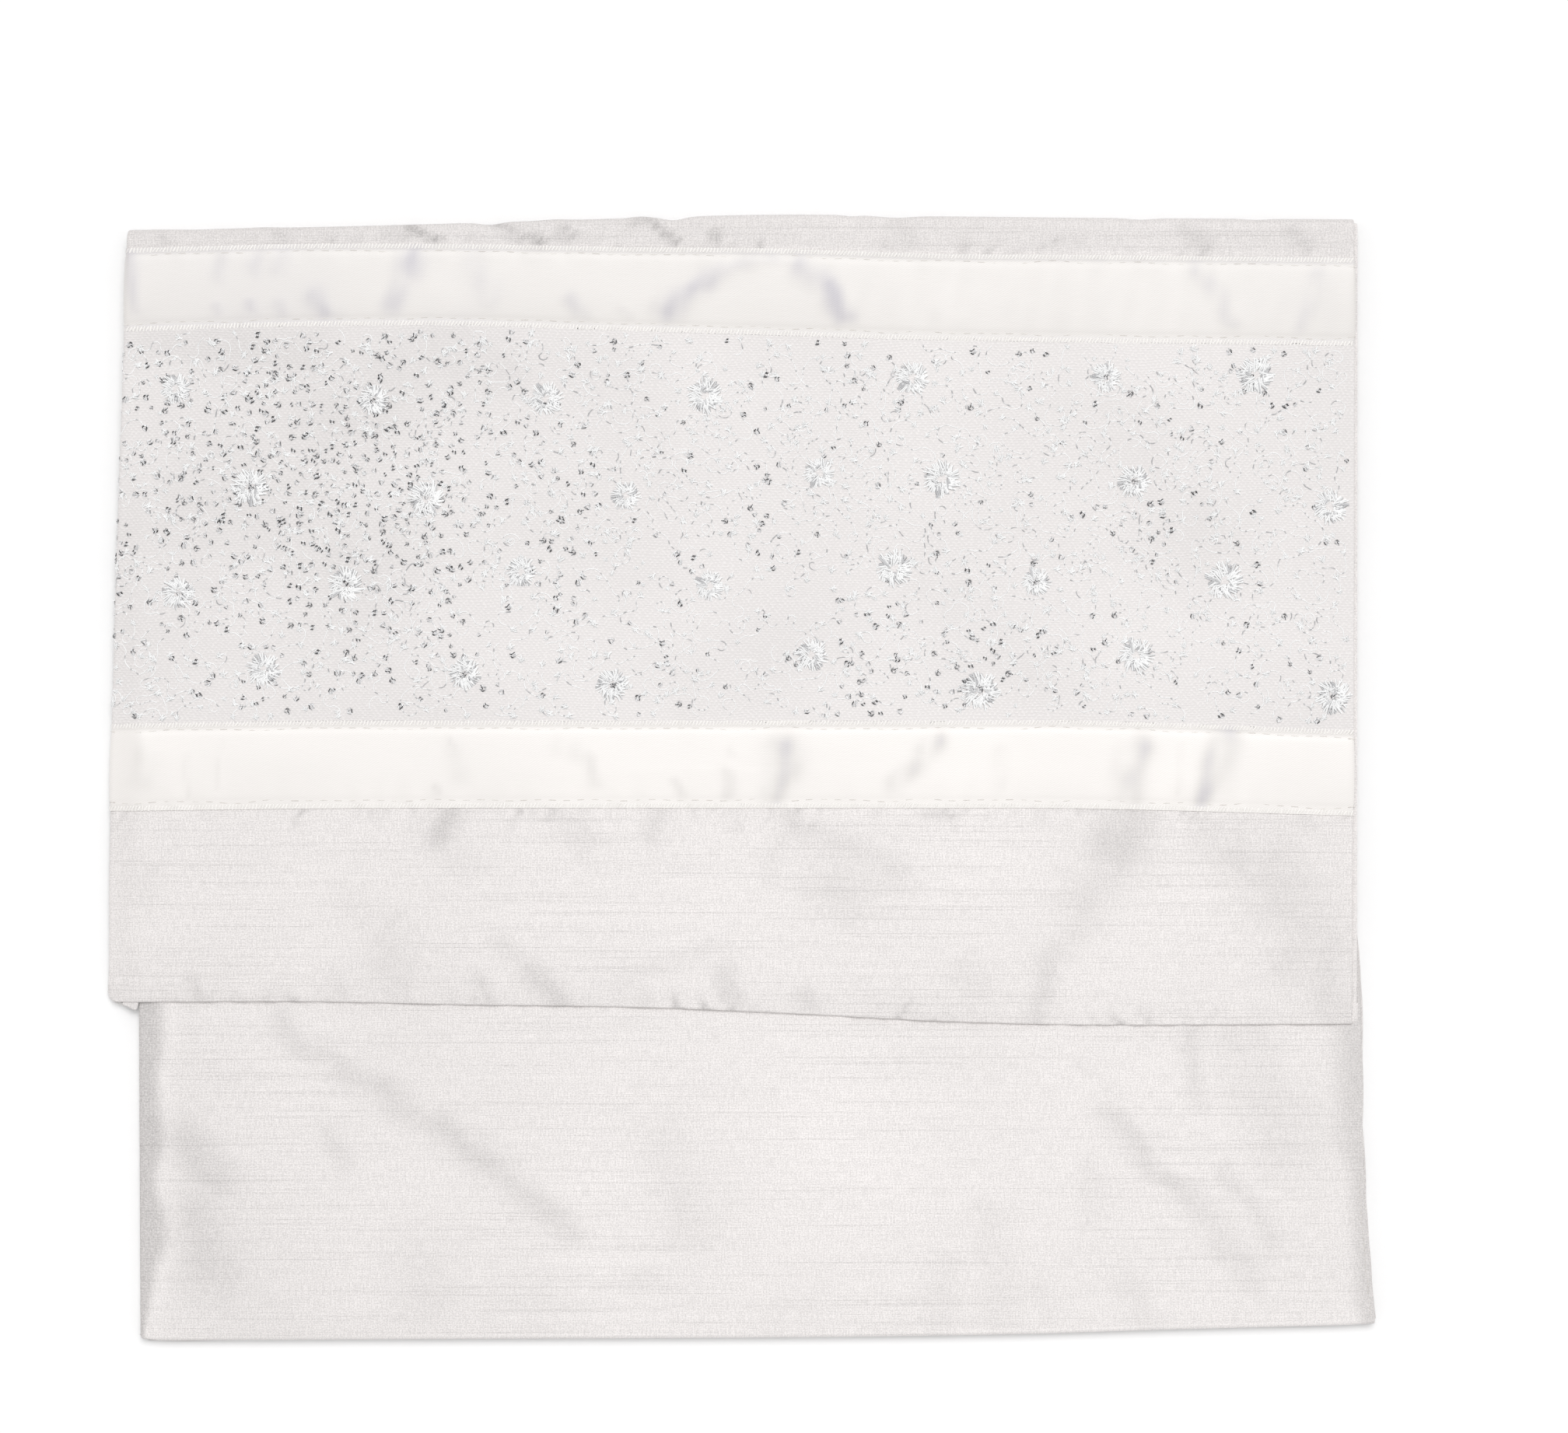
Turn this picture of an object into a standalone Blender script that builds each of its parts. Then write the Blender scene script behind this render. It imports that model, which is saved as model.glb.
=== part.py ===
"""Tallit prayer shawl, folded and laid flat on a table.

Metres, +Z up. The open flap edge faces -Y and the long folded side lies at -X. The origin is under the
middle of the folded shawl, on the surface that it rests on. Tables are in millimetres.
"""

import math

import bpy
import numpy as np

MM = 0.001

# Heights of the layers, from the table up
STACK_TOP = 4.0 * MM
WALL = 1.0 * MM
GAP = 0.3 * MM
LOWER_TOP = STACK_TOP + GAP + WALL
FLAP_TOP = LOWER_TOP + 2 * (GAP + WALL)

# Folds: outer radius of each, and how far each goes round
BACK_FOLD_RADIUS = 2.9 * MM
BACK_FOLD_DEGREES = (30, 60, 90, 112, 135)
FRONT_FOLD_RADIUS = 1.9 * MM
FRONT_FOLD_DEGREES = (135, 110, 85, 60, 30)
PAIR_FOLD_RADIUS = 1.15 * MM
PAIR_FOLD_DEGREES = (180, 140, 105, 70, 35, 0)
SIDE_FOLD_RADIUS = 1.2 * MM
SIDE_FOLD_DEGREES = (90, 60, 30)
TURNED_UNDER = 1.2 * MM

# The flap hangs past the left side of the stack and sinks towards the table there
DROOP_START_X = -192.5 * MM
DROOP_DEPTH = 4.6 * MM
OVERHANG_LEAST = 3.3 * MM
OVERHANG_MOST = 10.5 * MM
CREASE_FADE_LEFT = (-190 * MM, -175 * MM)

# Grid spacing of the cloth walls
FLAP_COLUMNS = 38
DROOP_COLUMNS = 4
LOWER_COLUMNS = 42
UNDER_COLUMNS = 16

# Lines across the flap: y of the hem, of the ribbons' edges and of the back fold, for each x
LINE_NAMES = ("hem", "lower_front", "lower_back", "upper_front", "upper_back", "fold")
LINE_ROWS = (
    # x, hem, lower ribbon front and back, upper ribbon front and back, fold
    (-201.1, -72.1, -10.6, 17.4, 143.1, 169.9, 176.1),
    (-138.6, -71.9, -9.8, 18.4, 145.0, 171.4, 177.1),
    (-88.6, -72.9, -9.6, 18.4, 145.1, 171.3, 178.4),
    (-38.6, -73.6, -9.6, 18.4, 143.5, 170.4, 179.9),
    (11.4, -75.5, -9.6, 18.4, 141.9, 169.9, 181.1),
    (61.4, -78.1, -9.6, 18.4, 140.4, 168.3, 180.6),
    (111.4, -79.4, -9.8, 18.4, 139.6, 167.9, 180.1),
    (195.7, -79.1, -12.1, 15.4, 138.6, 166.9, 179.6),
)
# Rows of the flap's wall between each pair of neighbouring lines
FLAP_ROWS = (
    ("hem", "lower_front", 8),
    ("lower_front", "lower_back", 2),
    ("lower_back", "upper_front", 7),
    ("upper_front", "upper_back", 2),
)
BAND_ROWS = 8
RIBBON_ROWS = 2

# Sides of the flap and of the stretches under it: x for each y
FLAP_LEFT = ((-72, -203.4), (-60, -204.6), (-24.9, -203.6), (62.6, -201.1), (137.6, -198.4), (181, -197.4))
FLAP_RIGHT = ((-79, 195.7), (180, 196.4))
UNDER_RIGHT = ((-79, 197.4), (180, 197.6))
LOWER_LEFT = ((-181, -193.6), (-72, -194.1), (181, -194.3))
LOWER_RIGHT = ((-176, 203.4), (-162, 202.2), (-137, 200.1), (-112, 199.4), (-72, 198.8), (25, 198.0), (181, 197.8))
STACK_RIGHT = ((-176, 204.6), (-162, 203.2), (-137, 201.3), (-112, 200.4), (-72, 200.0), (25, 199.2), (181, 199.0))
# Front fold, and the hem of the flap's under half: y for each x
LOWER_FRONT = ((-193, -181.1), (-88.6, -180.6), (11.4, -180.1), (86.4, -179.1), (136.4, -177.6), (204, -175.9))
UNDER_HEM = ((-204, -72.4), (-199, -73.6), (-194, -74.4), (-186, -72.6), (-170, -71.3), (-60, -72.6),
             (11.4, -74.9), (61.4, -77.5), (111.4, -78.8), (197, -78.5))
# How far the lowest front fold shows past the one above it, for each x
FRONT_PEEK = ((-193, 0.6), (-178, 1.0), (-150, 0.2), (0, 0.0), (120, 0.3), (185, 0.8), (204, 0.3))

# Edge of the stack at each height: how far it stands out on each side
STACK_PROFILE = (
    # z, front, left, back, right
    (0.00, 0.7, 0.3, 1.6, -0.4),
    (0.35, 1.3, 0.9, 2.3, 0.0),
    (0.85, 1.5, 0.9, 2.5, 0.0),
    (1.30, 1.2, 0.1, 2.2, -1.1),
    (1.70, 0.6, 0.8, 1.4, -0.6),
    (2.10, 0.0, 0.9, 0.9, -0.6),
    (2.55, 0.2, 0.1, 1.2, -1.3),
    (3.00, 0.5, 0.9, 0.9, -0.9),
    (3.40, 0.6, 0.9, 0.4, -0.9),
    (3.75, 0.5, 0.2, 0.1, -1.6),
    (4.00, 0.0, -0.4, -0.3, -1.6),
)
PEEK_HEIGHT = 1.5 * MM
STACK_POINTS = {"front": 22, "right": 12, "back": 18, "left": 10}
CORNER_CUT = 0.004

# Creases: from one end to the other, the half width and the height of each
LOWER_CREASES = (
    # x0, y0, x1, y1, half width, height
    (-148.0, -78.0, -52.0, -146.0, 7.5, 0.80),
    (-180.0, -106.0, -166.0, -134.0, 6.5, 0.55),
    (-132.0, -116.0, -122.0, -126.0, 6.5, 0.45),
    (117.0, -104.0, 162.0, -158.0, 7.0, 0.70),
    (152.0, -124.0, 172.0, -148.0, 7.0, 0.45),
    (146.0, -84.0, 147.0, -104.0, 6.5, 0.40),
)
FLAP_CREASES = (
    (-98.0, -26.0, -86.0, -12.0, 7.0, 0.50),
    (-76.0, -54.0, -62.0, -70.0, 6.5, 0.45),
    (20.0, -14.0, 50.0, -38.0, 8.0, 0.65),
    (126.0, -13.0, 104.0, -46.0, 7.5, 0.65),
    (92.0, -62.0, 106.0, -76.0, 6.5, 0.40),
    (158.0, -26.0, 188.0, -76.0, 8.5, 0.60),
    (134.0, 18.0, 130.0, -9.0, 6.5, 0.40),
    (60.0, 18.0, 48.0, -9.0, 6.5, 0.40),
    (-52.0, 18.0, -44.0, -9.0, 6.5, 0.35),
    (-106.0, 168.0, -113.0, 146.0, 6.0, 0.40),
    (-8.0, 168.0, -30.0, 146.0, 7.5, 0.45),
    (22.0, 167.0, 36.0, 144.0, 7.0, 0.45),
)

# Finishes: base colour, roughness
DUPIONI = ((0.85, 0.82, 0.81), 0.62)
DUPIONI_STACK = ((0.80, 0.77, 0.76), 0.65)
DUPIONI_UNDER = ((0.83, 0.80, 0.79), 0.62)
DUPIONI_LOWER = ((0.86, 0.83, 0.82), 0.62)
SATIN_UPPER = ((0.90, 0.88, 0.86), 0.35)
SATIN_LOWER = ((0.92, 0.90, 0.88), 0.35)
EMBROIDERED_NET = ((0.80, 0.79, 0.78), 0.70)


def clear_scene():
    """Removes every object that the file starts with."""
    for thing in list(bpy.data.objects):
        bpy.data.objects.remove(thing, do_unlink=True)


def along(rows, at):
    """Smooth curve through a table of (place, value) rows in millimetres; takes and gives metres."""
    places = [row[0] * MM for row in rows]
    values = [row[1] * MM for row in rows]
    if at <= places[0]:
        return values[0]
    if at >= places[-1]:
        return values[-1]
    last = len(rows) - 1
    index = max(i for i in range(last) if places[i] <= at)
    before = max(index - 1, 0)
    after = min(index + 2, last)
    span = places[index + 1] - places[index]
    step = (at - places[index]) / span
    slope_in = (values[index + 1] - values[before]) / (places[index + 1] - places[before]) * span
    slope_out = (values[after] - values[index]) / (places[after] - places[index]) * span
    square = step * step
    cube = square * step
    return (
        (2 * cube - 3 * square + 1) * values[index]
        + (cube - 2 * square + step) * slope_in
        + (3 * square - 2 * cube) * values[index + 1]
        + (cube - square) * slope_out
    )


def flap_line(name, x):
    """The y of one of the lines across the flap."""
    column = LINE_NAMES.index(name) + 1
    return along([(row[0], row[column]) for row in LINE_ROWS], x)


def ease(value, start, end):
    """Goes from 0 at start to 1 at end with level ends."""
    step = min(max((value - start) / (end - start), 0.0), 1.0)
    return step * step * (3 - 2 * step)


def crease_height(creases, x, y):
    """How high the creases lift the cloth at a place."""
    lift = 0.0
    for x0, y0, x1, y1, half_width, height in creases:
        run_x = (x1 - x0) * MM
        run_y = (y1 - y0) * MM
        from_x = x - x0 * MM
        from_y = y - y0 * MM
        share = (from_x * run_x + from_y * run_y) / (run_x * run_x + run_y * run_y)
        nearest = min(max(share, 0.0), 1.0)
        away = math.hypot(from_x - nearest * run_x, from_y - nearest * run_y)
        lift = max(lift, height * MM * math.exp(-((away / (half_width * MM)) ** 2)))
    return lift


def flap_droop(x, y):
    """How far the flap has sunk at a place past the left side of the stack."""
    left = along(FLAP_LEFT, y)
    overhang = along(LOWER_LEFT, y) - left
    depth = DROOP_DEPTH * ease(overhang, OVERHANG_LEAST, OVERHANG_MOST)
    return depth * ease(DROOP_START_X - x, 0.0, DROOP_START_X - left)


def flap_point(x, y, depth, turn, creased):
    """A point of the flap: at x and y, that far below its upper face, turned round the back fold."""
    fold_start = flap_line("fold", x) - BACK_FOLD_RADIUS
    height = -depth - flap_droop(x, y)
    if creased:
        height += crease_height(FLAP_CREASES, x, y) * ease(x, *CREASE_FADE_LEFT)
    if turn == 0:
        return (x, y, FLAP_TOP + height)
    radius = BACK_FOLD_RADIUS + height
    return (
        x,
        fold_start + radius * math.sin(turn),
        FLAP_TOP - BACK_FOLD_RADIUS + radius * math.cos(turn),
    )


def rows_between(low_name, high_name, count, inset=0.0):
    """Rows from one line across the flap to another, as (low line, high line, share)."""
    shares = np.linspace(inset, 1 - inset, count + 1)
    return [(low_name, high_name, float(share)) for share in shares]


def row_y(row, x):
    """The y of a row of the flap at an x."""
    low_name, high_name, share = row
    low = flap_line(low_name, x)
    high = flap_line(high_name, x)
    return low + (high - low) * share


def flap_columns(y):
    """(x, depth) of each column of the flap at a y: turned under, round the left fold, then to the right."""
    left = along(FLAP_LEFT, y)
    right = along(FLAP_RIGHT, y)
    level_x = left + PAIR_FOLD_RADIUS
    columns = [(level_x + TURNED_UNDER, 2 * PAIR_FOLD_RADIUS)]
    for degrees in PAIR_FOLD_DEGREES:
        angle = math.radians(degrees)
        x = level_x - PAIR_FOLD_RADIUS * math.sin(angle)
        columns.append((x, PAIR_FOLD_RADIUS * (1 - math.cos(angle))))
    columns += [(float(x), 0.0) for x in np.linspace(level_x, DROOP_START_X, DROOP_COLUMNS + 1)[1:]]
    columns += [(float(x), 0.0) for x in np.linspace(DROOP_START_X, right, FLAP_COLUMNS + 1)[1:]]
    return columns


def flap_surface(rows, back_fold):
    """Points of the flap's upper face along some rows, and on round the back fold if asked."""
    grid = []
    for row in rows:
        middle = row_y(row, 0.0)
        grid.append([flap_point(x, row_y(row, x), depth, 0.0, True) for x, depth in flap_columns(middle)])
    if back_fold:
        columns = flap_columns(flap_line("fold", 0.0))
        for degrees in (0,) + BACK_FOLD_DEGREES:
            turn = math.radians(degrees)
            grid.append([
                flap_point(x, flap_line("fold", x) - BACK_FOLD_RADIUS, depth, turn, False)
                for x, depth in columns
            ])
    return np.array(grid)


def under_surface():
    """Points of the flap's upper face over its under half, without creases and without the left fold."""
    grid = []
    shares = np.linspace(0.0, 1.0, 10)
    turns = [0.0] * len(shares) + [math.radians(degrees) for degrees in BACK_FOLD_DEGREES]
    shares = list(shares) + [1.0] * len(BACK_FOLD_DEGREES)
    for share, turn in zip(shares, turns):
        middle = along(UNDER_HEM, 0.0) * (1 - share) + flap_line("fold", 0.0) * share
        start = along(FLAP_LEFT, middle) + PAIR_FOLD_RADIUS + TURNED_UNDER + GAP
        right = along(UNDER_RIGHT, middle)
        columns = list(np.linspace(start, DROOP_START_X, 4))
        columns += list(np.linspace(DROOP_START_X, right, UNDER_COLUMNS + 1)[1:])
        row = []
        for x in columns:
            low = along(UNDER_HEM, x)
            high = flap_line("fold", x) - BACK_FOLD_RADIUS
            row.append(flap_point(x, low + (high - low) * share, 0.0, turn, False))
        grid.append(row)
    return np.array(grid)


def lower_crease(x, y):
    """Height of the lower panel's creases, which fade at the flap's hem and at the front fold."""
    clear_of_flap = ease(flap_line("hem", x) - y, 3.0 * MM, 10.0 * MM)
    clear_of_fold = ease(y - along(LOWER_FRONT, x), 3.0 * MM, 12.0 * MM)
    return crease_height(LOWER_CREASES, x, y) * clear_of_flap * clear_of_fold


def lower_surface():
    """Points of the lower panel's upper face: round the front fold, then back under the flap."""
    shown = np.linspace(0.0, 1.0, 14)
    hidden = np.linspace(0.0, 1.0, 4)[1:]
    rows = [(math.radians(degrees), 0.0, 0.0) for degrees in FRONT_FOLD_DEGREES]
    rows += [(0.0, float(share), 0.0) for share in shown]
    rows += [(0.0, 1.0, float(share)) for share in hidden]
    grid = []
    for turn, share, beyond in rows:
        front = along(LOWER_FRONT, 0.0) + FRONT_FOLD_RADIUS
        hem = flap_line("hem", 0.0)
        back = flap_line("fold", 0.0) - BACK_FOLD_RADIUS
        middle = front + (hem - front) * share + (back - hem) * beyond
        left = along(LOWER_LEFT, middle)
        right = along(LOWER_RIGHT, middle)
        level_x = left + SIDE_FOLD_RADIUS
        columns = []
        for degrees in SIDE_FOLD_DEGREES:
            angle = math.radians(degrees)
            x = level_x - SIDE_FOLD_RADIUS * math.sin(angle)
            columns.append((x, SIDE_FOLD_RADIUS * (1 - math.cos(angle))))
        columns += [(float(x), 0.0) for x in np.linspace(level_x, right, LOWER_COLUMNS + 1)]
        row = []
        for x, depth in columns:
            start = along(LOWER_FRONT, x) + FRONT_FOLD_RADIUS
            hem = flap_line("hem", x)
            back = flap_line("fold", x) - BACK_FOLD_RADIUS - GAP
            y = start + (hem - start) * share + (back - hem) * beyond
            radius = FRONT_FOLD_RADIUS - depth
            if turn:
                row.append((x, start - radius * math.sin(turn),
                            LOWER_TOP - FRONT_FOLD_RADIUS + radius * math.cos(turn)))
            else:
                row.append((x, y, LOWER_TOP - depth + lower_crease(x, y)))
        grid.append(row)
    return np.array(grid)


def directions(grid, axis):
    """The direction of the grid's lines at each point, along one axis."""
    steps = np.diff(grid, axis=axis)
    steps /= np.linalg.norm(steps, axis=2, keepdims=True)
    first = np.take(steps, [0], axis=axis)
    last = np.take(steps, [-1], axis=axis)
    return np.concatenate([first, steps], axis=axis) + np.concatenate([steps, last], axis=axis)


def moved_out(grid, distance):
    """The grid's points moved that far along its outward normals."""
    normals = np.cross(directions(grid, 1), directions(grid, 0))
    normals /= np.linalg.norm(normals, axis=2, keepdims=True)
    return grid + normals * distance


def add_object(name, points, faces, finish):
    """Makes a named mesh object with its own material."""
    mesh = bpy.data.meshes.new(name)
    mesh.from_pydata([tuple(map(float, point)) for point in points], [], faces)
    mesh.validate()
    thing = bpy.data.objects.new(name, mesh)
    bpy.context.scene.collection.objects.link(thing)
    colour, roughness = finish
    material = bpy.data.materials.new(name)
    material.use_nodes = True
    shader = material.node_tree.nodes["Principled BSDF"]
    shader.inputs["Base Color"].default_value = (*colour, 1.0)
    shader.inputs["Roughness"].default_value = roughness
    shader.inputs["Metallic"].default_value = 0.0
    mesh.materials.append(material)
    mesh.shade_smooth()
    mesh.set_sharp_from_angle(angle=math.radians(50))
    return thing


def add_wall(name, outer, inner, finish):
    """A closed wall between two grids of the same shape, outer facing out."""
    rows, columns = outer.shape[:2]
    points = np.concatenate([outer.reshape(-1, 3), inner.reshape(-1, 3)])
    half = rows * columns

    def corner(row, column, side):
        return side * half + row * columns + column

    faces = []
    for row in range(rows - 1):
        for column in range(columns - 1):
            quad = [(row, column), (row, column + 1), (row + 1, column + 1), (row + 1, column)]
            faces.append([corner(r, c, 0) for r, c in quad])
            faces.append([corner(r, c, 1) for r, c in reversed(quad)])
    rim = [(0, column) for column in range(columns)]
    rim += [(row, columns - 1) for row in range(1, rows)]
    rim += [(rows - 1, column) for column in range(columns - 2, -1, -1)]
    rim += [(row, 0) for row in range(rows - 2, 0, -1)]
    for here, there in zip(rim, rim[1:] + rim[:1]):
        faces.append([corner(*there, 0), corner(*here, 0), corner(*here, 1), corner(*there, 1)])
    return add_object(name, points, faces, finish)


def build_flap():
    """The decorated end of the shawl, folded over the left and the back, with its wall inside."""
    rows = []
    for low_name, high_name, count in FLAP_ROWS:
        rows += rows_between(low_name, high_name, count)[(1 if rows else 0):]
    outer = flap_surface(rows, back_fold=True)
    add_wall("flap_panel", outer, moved_out(outer, -WALL), DUPIONI)


def build_trim(name, rows, finish):
    """A strip on the flap, made from the flap's points moved out."""
    flap = flap_surface(rows, back_fold=False)
    add_wall(name, moved_out(flap, GAP + WALL), moved_out(flap, GAP), finish)


def build_under_layer():
    """The flap's under half, one wall and one gap below the flap."""
    flap = under_surface()
    add_wall("flap_under_layer", moved_out(flap, -(WALL + GAP)), moved_out(flap, -(2 * WALL + GAP)), DUPIONI_UNDER)


def build_lower_panel():
    """The stretch in front of the flap, with the front fold."""
    outer = lower_surface()
    add_wall("lower_panel", outer, moved_out(outer, -WALL), DUPIONI_LOWER)


def stack_ring(profile_row):
    """Points round the stack at one height, counterclockwise seen from above."""
    height, front_out, left_out, back_out, right_out = [value * MM for value in profile_row]
    peek_share = 1.0 if height < PEEK_HEIGHT else 0.0
    ring = []
    for side, count in STACK_POINTS.items():
        for share in np.linspace(CORNER_CUT, 1 - CORNER_CUT, count):
            if side in ("front", "back"):
                place = share if side == "front" else 1 - share
                front_y = along(LOWER_FRONT, 0.0)
                y_guess = front_y if side == "front" else flap_line("fold", 0.0)
                left = along(LOWER_LEFT, y_guess) + SIDE_FOLD_RADIUS - left_out
                right = along(STACK_RIGHT, y_guess) + right_out
                x = left + (right - left) * place
                if side == "front":
                    peek = along(FRONT_PEEK, x) * peek_share
                    y = along(LOWER_FRONT, x) + FRONT_FOLD_RADIUS - front_out - peek
                else:
                    y = flap_line("fold", x) - BACK_FOLD_RADIUS + back_out
            else:
                place = share if side == "right" else 1 - share
                x_guess = along(STACK_RIGHT, 0.0) if side == "right" else along(LOWER_LEFT, 0.0)
                front = along(LOWER_FRONT, x_guess) + FRONT_FOLD_RADIUS - front_out
                back = flap_line("fold", x_guess) - BACK_FOLD_RADIUS + back_out
                y = front + (back - front) * place
                if side == "right":
                    x = along(STACK_RIGHT, y) + right_out
                else:
                    x = along(LOWER_LEFT, y) + SIDE_FOLD_RADIUS - left_out
            ring.append((x, y, height))
    return ring


def build_stack():
    """The hidden layers as one rounded solid with layered edges and a flat underside."""
    rings = [stack_ring(row) for row in STACK_PROFILE]
    size = len(rings[0])
    points = [point for ring in rings for point in ring]
    faces = [list(reversed(range(size)))]
    for level in range(len(rings) - 1):
        for place in range(size):
            after = (place + 1) % size
            low = level * size
            high = low + size
            faces.append([low + place, low + after, high + after, high + place])
    top = (len(rings) - 1) * size
    faces.append([top + place for place in range(size)])
    add_object("folded_stack", points, faces, DUPIONI_STACK)


def main():
    """Builds the folded shawl from the table up."""
    clear_scene()
    build_stack()
    build_lower_panel()
    build_under_layer()
    build_flap()
    seam = GAP / (LINE_ROWS[0][4] - LINE_ROWS[0][3]) / MM
    build_trim("lower_ribbon", rows_between("lower_front", "lower_back", RIBBON_ROWS), SATIN_LOWER)
    build_trim("embroidered_panel", rows_between("lower_back", "upper_front", BAND_ROWS, seam), EMBROIDERED_NET)
    build_trim("upper_ribbon", rows_between("upper_front", "upper_back", RIBBON_ROWS), SATIN_UPPER)


if __name__ == "__main__":
    main()
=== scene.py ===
"""Looks of a folded tallit prayer shawl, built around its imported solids.

Metres, in the solids' own frame: +X along the ribbons towards the open edges, -Y towards the front fold and
+Z up. Tables of the shawl's plan are in millimetres. Cloth coordinates (u, v) are metres along the cloth
itself, so that they run on round every fold.
"""

import logging
import math
from collections.abc import Callable, Sequence
from dataclasses import dataclass, field
from enum import Enum
from functools import partial

import bpy
import numpy as np
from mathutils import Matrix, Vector


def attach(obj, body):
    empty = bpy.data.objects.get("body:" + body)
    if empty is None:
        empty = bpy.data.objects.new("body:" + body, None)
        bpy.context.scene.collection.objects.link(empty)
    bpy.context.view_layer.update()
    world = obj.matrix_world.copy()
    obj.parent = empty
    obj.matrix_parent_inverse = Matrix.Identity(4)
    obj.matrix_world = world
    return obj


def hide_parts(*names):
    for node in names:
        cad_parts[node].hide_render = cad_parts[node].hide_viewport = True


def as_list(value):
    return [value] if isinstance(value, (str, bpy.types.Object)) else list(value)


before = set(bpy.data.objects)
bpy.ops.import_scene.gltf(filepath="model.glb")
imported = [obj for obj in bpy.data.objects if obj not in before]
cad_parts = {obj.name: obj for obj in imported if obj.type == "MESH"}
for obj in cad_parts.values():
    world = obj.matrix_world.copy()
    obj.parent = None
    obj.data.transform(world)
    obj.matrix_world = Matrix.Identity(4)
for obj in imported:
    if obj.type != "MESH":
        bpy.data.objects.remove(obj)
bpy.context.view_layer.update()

MM = 0.001
LOG = logging.getLogger("tallit")
UV_NAME = "Cloth"
PAINTED_LIGHT_NAME = "tone"
UP_NAME = "up"
RUN_NAME = "run"
PAINTED_LIGHT_AND_TINT_NAME = "painted_light_and_tint"
SIZE_NAME = "size"
SHARP_ANGLE = math.radians(60)

Array = np.ndarray
Colour = tuple[float, float, float]
Material = bpy.types.Material
Piece = bpy.types.Object
Socket = bpy.types.NodeSocket
Rows = Sequence[Sequence[float]]
RowLine = Callable[[Array], Array]
Links = dict[str | int, object]


# Numbers and noise


def smooth(rows: Rows, at: Array) -> Array:
    """Reads a smooth curve through the rows of a table.

    Args:
        rows: (place, value) pairs in millimetres, by rising place.
        at: The places to read, in metres.

    Returns:
        The values there, in metres.
    """
    table = np.array(rows, float) * MM
    places, values = table[:, 0], table[:, 1]
    last = len(places) - 1
    at = np.clip(at, places[0], places[-1])
    index = np.clip(np.searchsorted(places, at, side="right") - 1, 0, last - 1)
    before = np.maximum(index - 1, 0)
    after = np.minimum(index + 2, last)
    span = places[index + 1] - places[index]
    step = (at - places[index]) / span
    slope_in = (values[index + 1] - values[before]) / (places[index + 1] - places[before]) * span
    slope_out = (values[after] - values[index]) / (places[after] - places[index]) * span
    square, cube = step**2, step**3
    ends = (2 * cube - 3 * square + 1) * values[index] + (3 * square - 2 * cube) * values[index + 1]
    return ends + (cube - 2 * square + step) * slope_in + (cube - square) * slope_out


def ease(value: Array, start: float | Array, end: float | Array) -> Array:
    """Goes from 0 at start to 1 at end, with level ends."""
    step = np.clip((value - start) / (end - start), 0.0, 1.0)
    return step * step * (3 - 2 * step)


def bell(away: Array, width: float | Array, power: float = 2) -> Array:
    """Falls from 1 at a line to almost 0 beyond a width, the more steeply the higher the power."""
    return np.exp(-((away / width) ** power))


@dataclass(frozen=True)
class Ripple:
    """Smooth noise along a line: a few waves whose lengths share no factor."""

    wavelength: float
    seed: int
    waves: int = 5

    def __call__(self, at: Array) -> Array:
        """The noise at each place, from about -1 to 1."""
        random = np.random.default_rng(self.seed)
        total = np.zeros_like(np.asarray(at, float))
        for _ in range(self.waves):
            length = self.wavelength * random.uniform(0.6, 1.9)
            total += np.sin(2 * math.pi * (at / length + random.random()))
        return total / math.sqrt(self.waves) * 0.8


@dataclass(frozen=True)
class Swell:
    """Smooth noise over a plane: waves in several directions."""

    wavelength: float
    seed: int
    waves: int = 9

    def __call__(self, x: Array, y: Array) -> Array:
        """The noise at each place, from about -1 to 1."""
        random = np.random.default_rng(self.seed)
        total = np.zeros_like(x, float)
        for _ in range(self.waves):
            turn = random.uniform(0, math.pi)
            length = self.wavelength * random.uniform(0.7, 1.8)
            along = x * math.cos(turn) + y * math.sin(turn)
            total += np.sin(2 * math.pi * (along / length + random.random()))
        return total / math.sqrt(self.waves) * 0.9


# The shawl's plan


class Line(Enum):
    """The lines across the flap, by their column in the plan's table."""

    HEM = 1
    LOWER_FRONT = 2
    LOWER_BACK = 3
    UPPER_FRONT = 4
    UPPER_BACK = 5
    FOLD = 6


class Side(Enum):
    """The sides of the hidden layers, by their column in the layers' profile."""

    FRONT = 1
    LEFT = 2
    BACK = 3
    RIGHT = 4


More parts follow.
